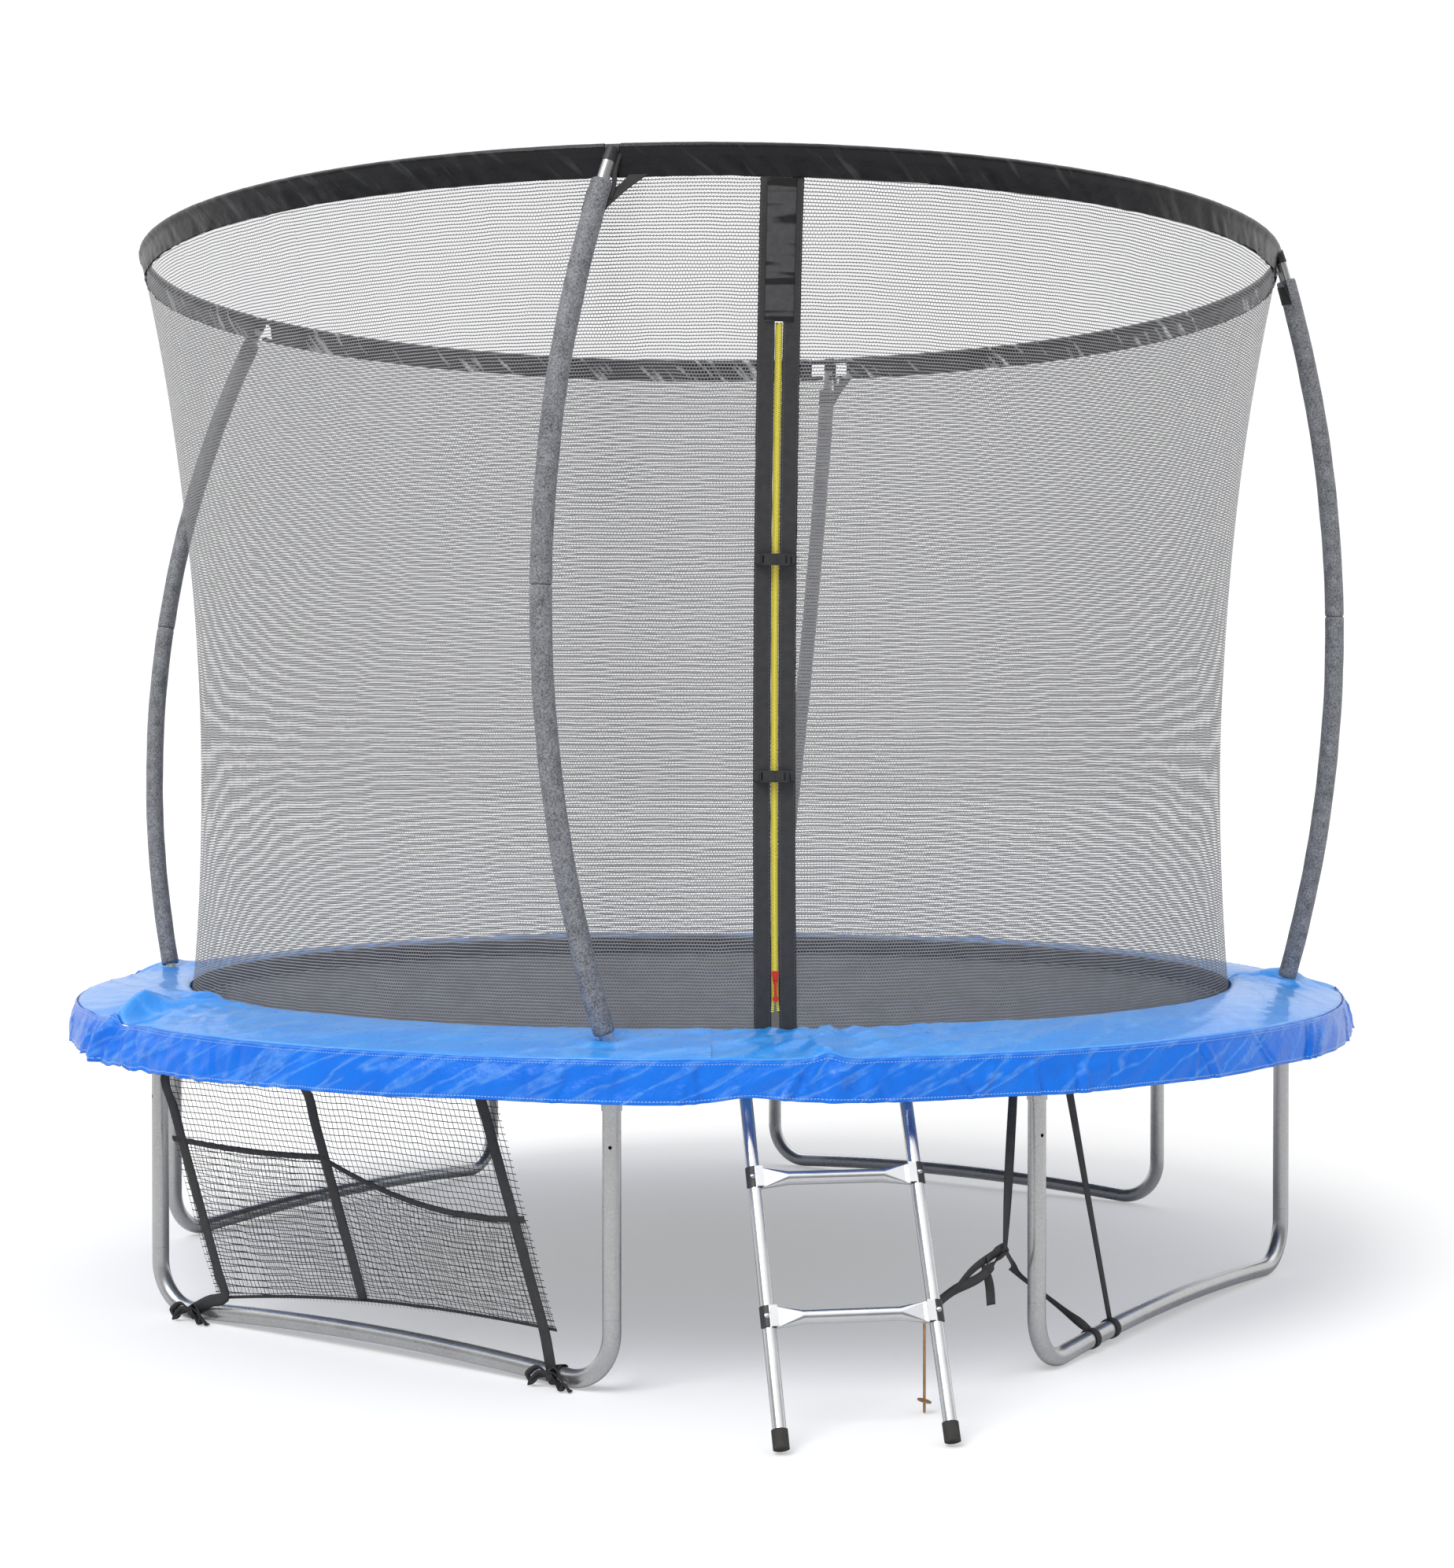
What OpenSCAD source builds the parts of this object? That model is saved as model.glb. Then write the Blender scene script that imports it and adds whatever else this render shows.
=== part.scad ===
/* [Frame] */
// Radius of the round frame, to the middle of its tube
frame_r = 1505; // [1400:5:1600]
// Outer diameter of the frame tube
rail_d = 38; // [34:1:40]
// Height of the frame tube's middle above the ground
rail_z = 690; // [640:5:760]
// Wall of the frame, leg and ladder tubes
tube_wall = 1.5; // [1.2:0.1:2.5]
// Gap all round where one tube or piece fits in another
fit_gap = 0.3; // [0.2:0.05:0.5]

/* [T joints] */
// Half length of a T joint along the frame
t_half = 55; // [45:1:60]
// Wall of a T joint
t_wall = 2.2; // [1.5:0.1:3]
// Depth of a T joint's leg socket below the frame tube's middle
socket_len = 90; // [80:1:110]

/* [Legs] */
// Outer diameter of the leg tube
leg_d = 40; // [36:1:42]
// Angle of the frame that one U leg spans
leg_span = 54; // [50:1:58]
// Azimuth of the first leg's right end, from the front towards the right
leg_az = -8; // [-12:0.5:-4]
// Radius of the bends in the leg base, to the middle of the tube
bend_r = 110; // [80:5:130]
// Slope at each end of the arched bottom rail, in degrees
arch_deg = 4; // [2:0.5:5]
// Height of the joint between a leg base and its uprights
leg_joint_z = 160; // [145:1:200]
// Length of the reduced neck that enters the next tube
neck_len = 60; // [40:1:80]
// Height of the spare hole through each upright
spare_hole_z = 524; // [400:5:560]

/* [Enclosure poles] */
// Outer diameter of the pole tube
pole_d = 28; // [25:1:32]
// Wall of the pole tube
pole_wall = 1.2; // [1:0.1:2]
// Azimuths where the four pole tips meet the top ring
tip_az = [-8, 75, 165, 243]; // [-20:1:260]
// Azimuths towards which the four poles bow
bow_az = [-58, 85, 172, 262]; // [-90:1:280]
// How far each pole bows from a straight line
bow = [170, 140, 140, 165]; // [100:5:200]
// Outer diameter of the foam sleeves
foam_d = 48; // [44:1:52]
// Bare pole between the foot and the foam, along the pole
foam_start = 52; // [50:1:62]
// Bare pole and cap above the foam of each pole, up to the ring rod's middle
foam_end = [76, 76, 118, 76]; // [74:1:120]
// Where the lower foam sleeve and pole half end, as a share of the pole
pole_split = 0.5; // [0.4:0.05:0.6]

/* [Top ring] */
// Radius of the top ring, to the middle of its rod
ring_r = 1485; // [1440:5:1500]
// Height of the top ring's rod
ring_z = 2621; // [2550:5:2650]
// Diameter of the ring rod
rod_d = 14; // [12:1:16]
// Height of the sleeve's flat band below the rod
sleeve_drop = 59; // [50:1:70]
// Widths of the gaps left in the sleeve at the four poles
window_w = [44, 44, 116, 86]; // [44:1:120]

/* [Net] */
// Radius of the net at its waist
waist_r = 1344; // [1320:1:1350]
// Height of the net's waist
waist_z = 1270; // [1200:5:1350]
// Radius of the arc that the net's outline follows
net_arc = 6270; // [6100:10:6600]
// Thickness of the net
net_t = 1.2; // [1:0.1:2]
// Height of the hem band at the foot of the net
hem_h = 50; // [40:1:60]

/* [Door] */
// Azimuth of the door's zip
door_az = 5.8; // [4:0.2:7]
// Half width of the webbing on each side of the zip
placket_w = 46; // [42:1:50]
// Height where the zip begins
zip_z0 = 790; // [780:1:800]
// Height where the zip ends below the flap
zip_z1 = 2266; // [2200:1:2300]
// Half width of the zip
zip_w = 7.8; // [6:0.1:9]
// Height of the zip slider at rest
slider_z = 866; // [860:1:900]
// Heights of the two buckles
buckle_z = [1301, 1768]; // [1000:1:2200]
// Height of the buckles off the webbing, so that the slider passes under them
buckle_off = 15; // [15:0.5:20]

/* [Mat and springs] */
// Thickness of the mat
mat_t = 2; // [1.5:0.1:3]
// Width of the sewn edge of the mat
mat_edge_w = 50; // [40:1:60]
// Number of springs round the mat
spring_count = 60; // [48:12:72]
// Azimuth of the first spring
spring_az = 1; // [0.5:0.1:1.5]
// Diameter of a spring's coils
spring_d = 20; // [16:1:22]

/* [Pad] */
// Outer radius of the pad at its crease
pad_r = 1650; // [1620:5:1680]
// Height of the pad's raised inner lip above its underside
pad_lip = 44; // [34:1:50]
// Thickness of the pad at its outer crease
pad_edge = 8; // [6:1:12]
// Rise of the pad's crown over a straight line
pad_crown = 9; // [4:1:14]
// Height that the skirt hangs down from the crease
skirt_h = 86; // [70:1:100]
// How far the skirt's hem stands out from the crease
skirt_flare = 18; // [12:1:25]
// Depth of the skirt's main folds at the hem
fold = 5; // [2:0.5:7]
// Thickness of the skirt
skirt_t = 1.6; // [1.2:0.1:2.5]

/* [Ladder] */
// Azimuth of the ladder
ladder_az = 9; // [8.8:0.1:9.4]
// Distance between the middles of the two stiles
stile_gap = 340; // [334:1:346]
// Diameter of the stiles
stile_d = 28; // [25:1:30]
// Lean of the ladder away from upright, in degrees
ladder_lean = 33; // [28:1:35]
// Diameter of the rungs
rung_d = 28; // [24:1:30]
// Distances of the two rungs from the hooks, along the stiles
rung_at = [250, 548]; // [200:1:600]
// Thickness of the hooks over the frame
hook_t = 3.5; // [3:0.1:4]
// Width of the hooks
hook_w = 30; // [24:1:32]
// Diameter of the rubber feet
foot_d = 33; // [32:1:38]
// Height of the rubber feet
foot_h = 38; // [30:1:45]

/* [Shoe organiser] */
// Width of the hanging net
org_w = 1040; // [900:10:1080]
// Height of the hanging net
org_h = 470; // [400:5:480]
// Height of the hanging net's lower edge above the ground
org_z = 125; // [110:1:150]
// Sideways slant of the hanging net, from its foot to its top
org_slant = -110; // [-140:5:0]
// Height of the pocket in front of the net
pocket_h = 330; // [280:5:360]
// Number of meshes across
mesh_x = 18; // [12:1:18]
// Number of meshes up the net
mesh_y = 8; // [6:1:8]
// Width of the mesh cords
cord_w = 6; // [4:0.5:8]
// Width of the webbing straps
web_w = 24; // [20:1:30]
// Thickness of the webbing straps
web_t = 1.6; // [1.2:0.1:2]

/* [Anchor kit] */
// Where the anchor peg stands on the ground
peg_xy = [436, -1644]; // [-1800:1:600]
// Height of the peg's eye above the ground
peg_h = 205; // [180:5:230]
// Diameter of the peg's rod
peg_d = 6; // [5:0.5:8]

/* [Hidden] */
$fn = 40;
arc_fn = 256;

steel = "silver";
dark = "#202022";
blue = "#1668d8";

// Joint sizes that follow from the tubes
t_bore = rail_d + 2 * fit_gap;
t_out = t_bore + 2 * t_wall;
socket_bore = leg_d + 2 * fit_gap;
socket_out = socket_bore + 2 * t_wall;
web_stop = 3;
upright_top = rail_z - t_bore / 2 - web_stop - fit_gap;
pole_foot_len = 60;
kink_z = rail_z + t_out / 2 + 3.4;
screw_z = rail_z - 65;
screw_d = 4.8;
rail_trim = pole_d / 2 + 6;

// Leg plane: x runs along the chord, y points to the middle, z up
chord_half = frame_r * sin(leg_span / 2);
chord_in = frame_r * cos(leg_span / 2);
bend_z = leg_d / 2 + bend_r;
arch_end_x = chord_half - bend_r - bend_r * sin(arch_deg);
arch_end_z = bend_z - bend_r * cos(arch_deg);
arch_r = arch_end_x / sin(arch_deg);
arch_mid_z = arch_end_z - arch_r * cos(arch_deg) + arch_r;

// Top ring and net outline
sleeve_t = 1.2;
swage_d = rod_d + 2 * fit_gap + 3;
sleeve_in = swage_d / 2 + fit_gap;
net_top = ring_z - sleeve_drop;
hem_bottom = rail_z + 14;
net_foot = hem_bottom + hem_h;
net_axis = waist_r + net_arc;
hem_t = 2.6;
panel_count = 8;
panel_deg = 360 / panel_count;
door_half = asin((zip_w + 0.4) / waist_r);

// Door hardware
slider_w = 15;
slider_h = 30;
chain_out = 2.5;
plate_out = 3.4;
plate_t = 3;
pin_d = 2.6;
pin_out = plate_out + plate_t + 3.2;
pull_len = 46;
buckle_l = 34;
buckle_w = 25;
buckle_t = 9;
plug_l = 30;

// Mat, rings and springs
mat_top = hem_bottom - 0.4;
mat_r = net_radius(hem_bottom) - hem_t / 2 - 1.5;
edge_t = mat_t + 2.6;
vring_t = 4;
vring_z = mat_top - edge_t - fit_gap - vring_t;
vring_in = mat_r - 14;
vring_out = mat_r + 22;
spring_z = vring_z + vring_t / 2;
eye_r = 5.5;
wire_d = 3.4;
rail_in = frame_r - rail_d / 2;
spring_deg = 360 / spring_count;

// Pad
pad_in = net_radius(hem_bottom) + hem_t / 2 + 1.2;
pad_bottom = rail_z + 28;
slot_d = pole_d + 18;
skirt_top = pad_bottom + pad_edge - 4;
skirt_gap = 0.9;

// Ladder frame: x right, z up along the stiles, y inwards, origin on the hinge
hinge_r = frame_r * cos(asin(stile_gap / 2 / frame_r));
hook_in = rail_d / 2 + 1.9;
stile_top = hook_in + hook_t / 2;
neck_stile = 70;
stile_len = (rail_z - foot_d / 2 * sin(ladder_lean) - 0.2) / cos(ladder_lean);
foot_floor = 4;

// Organiser, in the first leg's plane
org_out = leg_d / 2 + 3;
org_tilt = 8;
strap_x = [-0.47, -0.03, 0.47];
tie_x = [-548, 540];
// Each seam channel: its middle's radius and its length
seam_at = 1500;
seam_len = 420;

// Anchor strap's junction, between the frame, the peg and the leg
junction = [620, -1480, 305];
round_post = [668, -1296, 215];
tie_local = [-422, -322];
eye_rad = 16;

function polar(r, az, z) = [r * sin(az), -r * cos(az), z];
function unit(v) = v / norm(v);
function net_radius(z) = net_axis - sqrt(net_arc * net_arc - (z - waist_z) * (z - waist_z));
function net_slope(z) = asin((z - waist_z) / net_arc);
function pole_az(i) = leg_az + 90 * i;
function leg_mid(i) = pole_az(i) - leg_span / 2;
function arch_z(x) = arch_mid_z - arch_r + sqrt(arch_r * arch_r - x * x);
// Ends, directions and arc of pole i
function foot_pt(i) = polar(frame_r, pole_az(i), kink_z);
function tip_pt(i) = polar(ring_r, tip_az[i], ring_z);
function chord_len(i) = norm(tip_pt(i) - foot_pt(i));
function chord_dir(i) = unit(tip_pt(i) - foot_pt(i));
function bow_raw(i) = polar(1, bow_az[i], 0);
function bow_dir(i) = unit(bow_raw(i) - chord_dir(i) * (bow_raw(i) * chord_dir(i)));
function pole_rad(i) = (chord_len(i) ^ 2 / 4 + bow[i] ^ 2) / (2 * bow[i]);
function half_arc(i) = asin(chord_len(i) / 2 / pole_rad(i));
function arc_deg(i, length) = length / pole_rad(i) * 180 / PI;
function split_deg(i) = half_arc(i) * (2 * pole_split - 1);
function arc_pt(i, deg) = foot_pt(i)
  + bow_dir(i) * (pole_rad(i) * (cos(deg) - 1) + bow[i])
  + chord_dir(i) * (chord_len(i) / 2 + pole_rad(i) * sin(deg));
function curve(z0, z1, off, steps) =
  [for (k = [0 : steps]) let (z = z0 + (z1 - z0) * k / steps) [net_radius(z) + off, z]];
function spring_at(k) = spring_az + spring_deg * k;
// The skirt's folds: how far its cloth stands out at an azimuth
function folds(az) = sin(17 * az) + 0.6 * sin(31 * az + 40) + 0.4 * sin(7 * az + 100);

module at(az) rotate([0, 0, az]) children();

// Turns a profile, x for radius and y for height, from one azimuth to another
module sweep(az0, az1) rotate([0, 0, az0 - 90])
  rotate_extrude(angle = az1 - az0, $fn = arc_fn) children();

module ring2d(d_out, d_in) difference() {
  circle(d = d_out);
  circle(d = d_in);
}

module pipe(d, wall, h) linear_extrude(h) ring2d(d, d - 2 * wall);

// A strip along the net's outline, between two offsets from the net's middle
module net_strip(z0, z1, in_off, out_off, az0, az1, steps = 16) sweep(az0, az1)
  polygon(concat(curve(z0, z1, out_off, steps), curve(z1, z0, in_off, steps)));

// Stands on the net at a height: x right, y inwards, z up along the net
module on_net(z, off) at(door_az) translate([0, -net_radius(z), z])
  rotate([net_slope(z), 0, 0]) translate([0, -off, 0]) children();

module leg_plane(i) at(leg_mid(i)) translate([0, -chord_in, 0]) children();

// --- frame ---
module rail(az0, az1) {
  trim = rail_trim / frame_r * 180 / PI;
  difference() {
    sweep(az0 + trim, az1 - trim) translate([frame_r, rail_z]) ring2d(rail_d, rail_d - 2 * tube_wall);
    for (k = [0 : spring_count - 1]) {
      a = spring_at(k) > az0 + 360 ? spring_at(k) - 360 : spring_at(k);
      if (a > az0 + 2 && a < az1 - 2) at(a) spring_slot();
    }
  }
}

module spring_slot() translate([0, -rail_in, spring_z])
  cube([wire_d + 1.6, 12, wire_d + 6], center = true);

module top_rails_long() color(steel) for (i = [0 : 3]) rail(pole_az(i) - leg_span, pole_az(i));

module top_rails_short() color(steel) for (i = [0 : 3]) rail(pole_az(i), pole_az(i) + 90 - leg_span);

module t_joint(az, open_top) at(az) {
  t_deg = t_half / frame_r * 180 / PI;
  difference() {
    union() {
      sweep(-t_deg, t_deg) translate([frame_r, rail_z]) circle(d = t_out);
      translate([0, -frame_r, rail_z - socket_len]) cylinder(d = socket_out, h = socket_len);
    }
    sweep(-t_deg - 1, t_deg + 1) translate([frame_r, rail_z]) circle(d = t_bore);
    translate([0, -frame_r, rail_z - socket_len - 1])
      cylinder(d = socket_bore, h = upright_top + fit_gap - rail_z + socket_len + 1);
    if (open_top) translate([0, -frame_r, rail_z - t_out])
      cylinder(d = pole_d + 2 * fit_gap, h = 2 * t_out);
    translate([0, -frame_r, screw_z]) rotate([90, 0, 0])
      cylinder(d = screw_d + 2 * fit_gap, h = socket_out);
  }
}

module t_joints() color(steel) for (i = [0 : 3]) {
  t_joint(pole_az(i), true);
  t_joint(pole_az(i) - leg_span, false);
}

module socket_screws() color(steel) for (i = [0 : 3], end = [0, 1])
  at(pole_az(i) - end * leg_span) translate([0, -frame_r, screw_z]) rotate([90, 0, 0]) {
    translate([0, 0, leg_d / 2 - 6]) cylinder(d = screw_d, h = socket_out / 2 - leg_d / 2 + 7);
    translate([0, 0, socket_out / 2 + 0.3]) cylinder(d1 = 11, d2 = 7, h = 4);
  }

// --- legs ---
// Half of a leg base, from the middle of its arched rail out to the neck
module leg_half() {
  neck_r = leg_d / 2 - tube_wall - fit_gap;
  rotate([90, 0, 0]) translate([0, arch_mid_z - arch_r, 0]) rotate([0, 0, 90]) {
    rotate_extrude(angle = -arch_deg, $fn = arc_fn)
      translate([arch_r, 0]) ring2d(leg_d, leg_d - 2 * tube_wall);
    rotate([0, 0, -arch_deg]) translate([arch_r + bend_r, 0, 0]) rotate([0, 0, 180]) {
      rotate_extrude(angle = 90 + arch_deg, $fn = 96)
        translate([bend_r, 0]) ring2d(leg_d, leg_d - 2 * tube_wall);
      rotate([0, 0, 90 + arch_deg]) translate([bend_r, 0, 0]) rotate([-90, 0, 0]) rotate_extrude()
        polygon([[leg_d / 2 - tube_wall, 0], [leg_d / 2, 0], [leg_d / 2, leg_joint_z - bend_z],
          [neck_r, leg_joint_z - bend_z], [neck_r, leg_joint_z - bend_z + neck_len],
          [neck_r - tube_wall, leg_joint_z - bend_z + neck_len],
          [neck_r - tube_wall, leg_joint_z - bend_z - 4]]);
    }
  }
}

module leg_base(i) color(steel) leg_plane(i) {
  leg_half();
  mirror([1, 0, 0]) leg_half();
}

module leg_uprights(i) color(steel) for (end = [0, 1])
  at(pole_az(i) - end * leg_span) translate([0, -frame_r, leg_joint_z + fit_gap]) difference() {
    pipe(leg_d, tube_wall, upright_top - leg_joint_z - fit_gap);
    translate([0, 0, screw_z - leg_joint_z - fit_gap]) rotate([90, 0, 0])
      cylinder(d = screw_d + 2 * fit_gap, h = leg_d);
    translate([0, 0, spare_hole_z - leg_joint_z]) rotate([90, 0, 0])
      cylinder(d = 8, h = leg_d);
  }

// --- enclosure poles ---
module arc_frame(i) {
  b = bow_dir(i);
  c = chord_dir(i);
  n = cross(b, c);
  a = foot_pt(i);
  multmatrix([[b.x, c.x, n.x, a.x], [b.y, c.y, n.y, a.y], [b.z, c.z, n.z, a.z], [0, 0, 0, 1]])
    translate([bow[i] - pole_rad(i), chord_len(i) / 2, 0]) children();
}

module arc_tube(i, deg0, deg1, d_out, d_in) arc_frame(i) rotate([0, 0, deg0])
  rotate_extrude(angle = deg1 - deg0, $fn = arc_fn)
    translate([pole_rad(i), 0]) ring2d(d_out, d_in);

module pole_lower(i) color(steel) {
  bore = pole_d - 2 * pole_wall;
  neck_d = bore - 2 * fit_gap;
  joint = split_deg(i);
  at(pole_az(i)) translate([0, -frame_r, rail_z - pole_foot_len])
    pipe(pole_d, pole_wall, kink_z - rail_z + pole_foot_len);
  translate(foot_pt(i)) sphere(d = pole_d + 0.4);
  arc_tube(i, -half_arc(i), joint, pole_d, bore - 2);
  arc_tube(i, joint - arc_deg(i, 1), joint + arc_deg(i, neck_len), neck_d, bore - 4);
}

module pole_upper(i) color(steel) arc_tube(i, split_deg(i) + arc_deg(i, fit_gap),
  half_arc(i) - arc_deg(i, rod_d / 2 + 6), pole_d, pole_d - 2 * pole_wall);

module foam_sleeves(i) color("#6d7074") {
  mid = split_deg(i) + arc_deg(i, 30);
  bore = pole_d + 2 * fit_gap;
  arc_tube(i, -half_arc(i) + arc_deg(i, foam_start), mid - arc_deg(i, 0.2), foam_d, bore);
  arc_tube(i, mid + arc_deg(i, 0.2), half_arc(i) - arc_deg(i, foam_end[i]), foam_d, bore);
}

// A moulded cap over the pole's tip, with a clip round the ring rod
module pole_cap(i) {
  cap_d = pole_d + 2 * fit_gap + 3;
  clip_d = rod_d + 2 * fit_gap + 5;
  difference() {
    union() {
      arc_frame(i) rotate([0, 0, half_arc(i)]) translate([pole_rad(i), 0, 0])
        rotate([90, 0, 0]) cylinder(d1 = cap_d - 3, d2 = cap_d, h = 31);
      at(tip_az[i]) translate([0, -ring_r, ring_z]) rotate([0, 90, 0])
        cylinder(d = clip_d, h = 30, center = true);
    }
    arc_tube(i, half_arc(i) - arc_deg(i, 45), half_arc(i) - arc_deg(i, rod_d / 2 + 5.7),
      pole_d + 2 * fit_gap, 0.01);
    at(tip_az[i]) sweep(-3, 3) translate([ring_r, ring_z]) circle(d = rod_d + 2 * fit_gap);
  }
}

module pole_caps() color(dark) for (i = [0 : 3]) pole_cap(i);

// --- top ring ---
module ring_rods() color(steel) for (k = [0 : 3]) {
  start = 30 + 90 * k;
  swage = 60 / ring_r * 180 / PI;
  gap = fit_gap / ring_r * 180 / PI;
  sweep(start + swage / 2, start + 90 - gap) translate([ring_r, ring_z]) circle(d = rod_d);
  difference() {
    sweep(start, start + swage) translate([ring_r, ring_z]) circle(d = swage_d);
    sweep(start - 1, start + swage / 2) translate([ring_r, ring_z]) circle(d = rod_d + 2 * fit_gap);
  }
}

module ring_sleeve() color(dark) difference() {
  sweep(0, 360) union() {
    translate([ring_r, ring_z]) ring2d(2 * sleeve_in + 2 * sleeve_t, 2 * sleeve_in);
    polygon([[ring_r - 1.2, ring_z - sleeve_in - 0.5], [ring_r + 1.2, ring_z - sleeve_in - 0.5],
      [net_radius(net_top) + 1.2, net_top], [net_radius(net_top) - 1.2, net_top]]);
  }
  // Gaps for the pole caps, and room for each pole where it leans
  for (i = [0 : 3]) {
    at(tip_az[i]) translate([0, -ring_r, ring_z]) {
      cube([window_w[i], 60, 2 * sleeve_in + 6], center = true);
      translate([0, 0, -sleeve_drop / 2]) cube([window_w[i] - 12, 60, sleeve_drop + 4], center = true);
    }
    arc_tube(i, half_arc(i) - arc_deg(i, 90), half_arc(i) - arc_deg(i, 2), pole_d + 11, 0.01);
  }
}

// Webbing from the sleeve's hem down to a loop round the foam, at each pole
module corner_straps() color(dark) for (i = [0 : 3]) {
  side = [1, -1, -1, 1][i];
  top = half_arc(i) - arc_deg(i, foam_end[i] + 12);
  low = top - arc_deg(i, web_w);
  middle = (top + low) / 2;
  at_loop = arc_pt(i, middle);
  inward = polar(1, atan2(at_loop.x, -at_loop.y) + 180 - 25 * side, 0);
  spoke = bow_dir(i) * cos(middle) + chord_dir(i) * sin(middle);
  facing = atan2(inward * spoke, inward * cross(bow_dir(i), chord_dir(i)));
  arc_tube(i, low, top, foam_d + 2 * fit_gap + 3.2, foam_d + 2 * fit_gap);
  hull() {
    at(tip_az[i] + side * 3.2) translate([0, -net_radius(net_top) - 6, net_top + 8])
      cube([70, web_t, 14], center = true);
    arc_frame(i) rotate([0, 0, middle]) translate([pole_rad(i), 0, 0]) rotate([0, facing, 0])
      translate([0, 0, foam_d / 2 + 1.4]) cube([14, web_w - 4, web_t], center = true);
  }
}

// --- net ---
module net_panel(k) color("#55585c", 0.6) net_strip(net_foot + 0.05, net_top - 0.05, -net_t / 2, net_t / 2,
  door_az + panel_deg * (k - 1) + (k == 1 ? door_half : 0),
  door_az + panel_deg * k - (k == panel_count ? door_half : 0));

module net_hem() color(dark)
  net_strip(hem_bottom, net_foot, -hem_t / 2, hem_t / 2, 0, 360, 2);

// --- door ---
module door_placket() color(dark) {
  out_deg = asin(placket_w / waist_r);
  for (s = [-1, 1]) net_strip(net_foot, net_top, net_t / 2 + 0.3, net_t / 2 + 2.3,
    door_az + min(s * out_deg, s * door_half), door_az + max(s * out_deg, s * door_half));
  // Webbing tabs that reach from the placket to the buckles
  for (z = buckle_z, s = [0, 1]) on_net(z, 0) mirror([s, 0, 0])
    translate([0, 0, -buckle_w / 2 + 1]) linear_extrude(buckle_w - 2)
      polygon([[placket_w - 1, -2.6], [placket_w - 1, -4.4], [placket_w - 5, -4.8],
        [37, -buckle_off + 0.4], [26, -buckle_off + 0.4], [26, -buckle_off + 2],
        [36, -buckle_off + 2], [placket_w - 7, -2.6]]);
}

module door_flap() color(dark) net_strip(zip_z1 + 4, net_top, net_t / 2 + 2.6, net_t / 2 + 5.2,
  door_az - asin(30 / waist_r), door_az + asin(30 / waist_r), 6);

module zip_chain() color("gold") {
  for (s = [-1, 1]) net_strip(zip_z0, zip_z1, -1.5, chain_out,
    door_az + min(s * asin(zip_w / waist_r), s * asin(0.9 / waist_r)),
    door_az + max(s * asin(zip_w / waist_r), s * asin(0.9 / waist_r)));
}

module zip_slider() color("crimson") on_net(slider_z, 0) {
  // Front plate, back plate and the core between the two tooth rows
  for (out = [-1.5 - 0.6 - 2, plate_out]) translate([0, -out, 0]) rotate([90, 0, 0])
    linear_extrude(out > 0 ? plate_t : 2) hull() {
      translate([slider_w / 2 - 4, slider_h / 2 - 4]) circle(r = 4);
      translate([4 - slider_w / 2, slider_h / 2 - 4]) circle(r = 4);
      translate([0, 4 - slider_h / 2]) circle(r = 4);
    }
  translate([-0.5, -plate_out - 0.5, 2]) cube([1, plate_out + 3.5, 10]);
  // Bail that carries the pull's pin
  for (s = [-1, 1]) translate([s * 4.4 - 1, -pin_out - pin_d / 2 - 0.6, -5])
    cube([2, pin_out + pin_d / 2 - plate_out - plate_t + 1.4, 6]);
  translate([-4.6, -pin_out, -3]) rotate([0, 90, 0]) cylinder(d = pin_d, h = 9.2);
}

module zip_pull() color("crimson") on_net(slider_z, 0) translate([0, -pin_out, -3]) difference() {
  union() {
    rotate([0, 90, 0]) cylinder(d = 5.4, h = 6.2, center = true);
    translate([-3.1, -1.1, -pull_len]) cube([6.2, 2.2, pull_len - 1]);
    translate([0, 1.1, -pull_len + 4]) rotate([90, 0, 0]) cylinder(d = 13, h = 2.2);
  }
  rotate([0, 90, 0]) cylinder(d = pin_d + 2 * fit_gap, h = 20, center = true);
}

// Female half of a side-release buckle, open to the right with a window in each side
module buckle_socket(z) on_net(z, buckle_off) rotate([90, 0, 0]) difference() {
  linear_extrude(buckle_t) hull() {
    for (s = [-1, 1]) {
      translate([-buckle_l + 5, s * (buckle_w / 2 - 5)]) circle(r = 5);
      translate([-1, s * (buckle_w / 2 - 1)]) circle(r = 1);
    }
  }
  translate([-buckle_l + 9, -buckle_w / 2 + 2, 2]) cube([buckle_l, buckle_w - 4, buckle_t - 4]);
  translate([-22, -buckle_w, 2]) cube([13, 2 * buckle_w, buckle_t - 4]);
  translate([-buckle_l + 3, -buckle_w / 2 + 4, -1]) cube([3, buckle_w - 8, buckle_t + 2]);
}

module buckle_sockets() color("#303236") for (z = buckle_z) buckle_socket(z);

// Male half: a guide, two sprung arms and the bar that holds the webbing
module buckle_plug(z) color("#303236") on_net(z, buckle_off) rotate([90, 0, 0]) difference() {
  union() {
    translate([0.4, -buckle_w / 2, 0]) cube([plug_l - 5, buckle_w, buckle_t]);
    translate([plug_l - 5, 0, buckle_t / 2]) cube([10, buckle_w - 4, buckle_t - 3], center = true);
    translate([-16, -2.5, 2.4]) cube([18, 5, buckle_t - 4.8]);
    for (s = [-1, 1]) {
      translate([-20, s * 8 - 1.5, 2.4]) cube([22, 3, buckle_t - 4.8]);
      translate([-19, s * 7.4, 2.4]) cylinder(d = 5, h = buckle_t - 4.8);
    }
  }
  translate([plug_l - 12, -buckle_w / 2 + 4, -1]) cube([4, buckle_w - 8, buckle_t + 2]);
}

// --- mat and springs ---
module jumping_mat() color("#26272a") rotate_extrude($fn = arc_fn)
  polygon([[0, mat_top - mat_t], [mat_r - mat_edge_w, mat_top - mat_t],
    [mat_r - mat_edge_w, mat_top - edge_t], [mat_r, mat_top - edge_t], [mat_r, mat_top], [0, mat_top]]);

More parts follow.
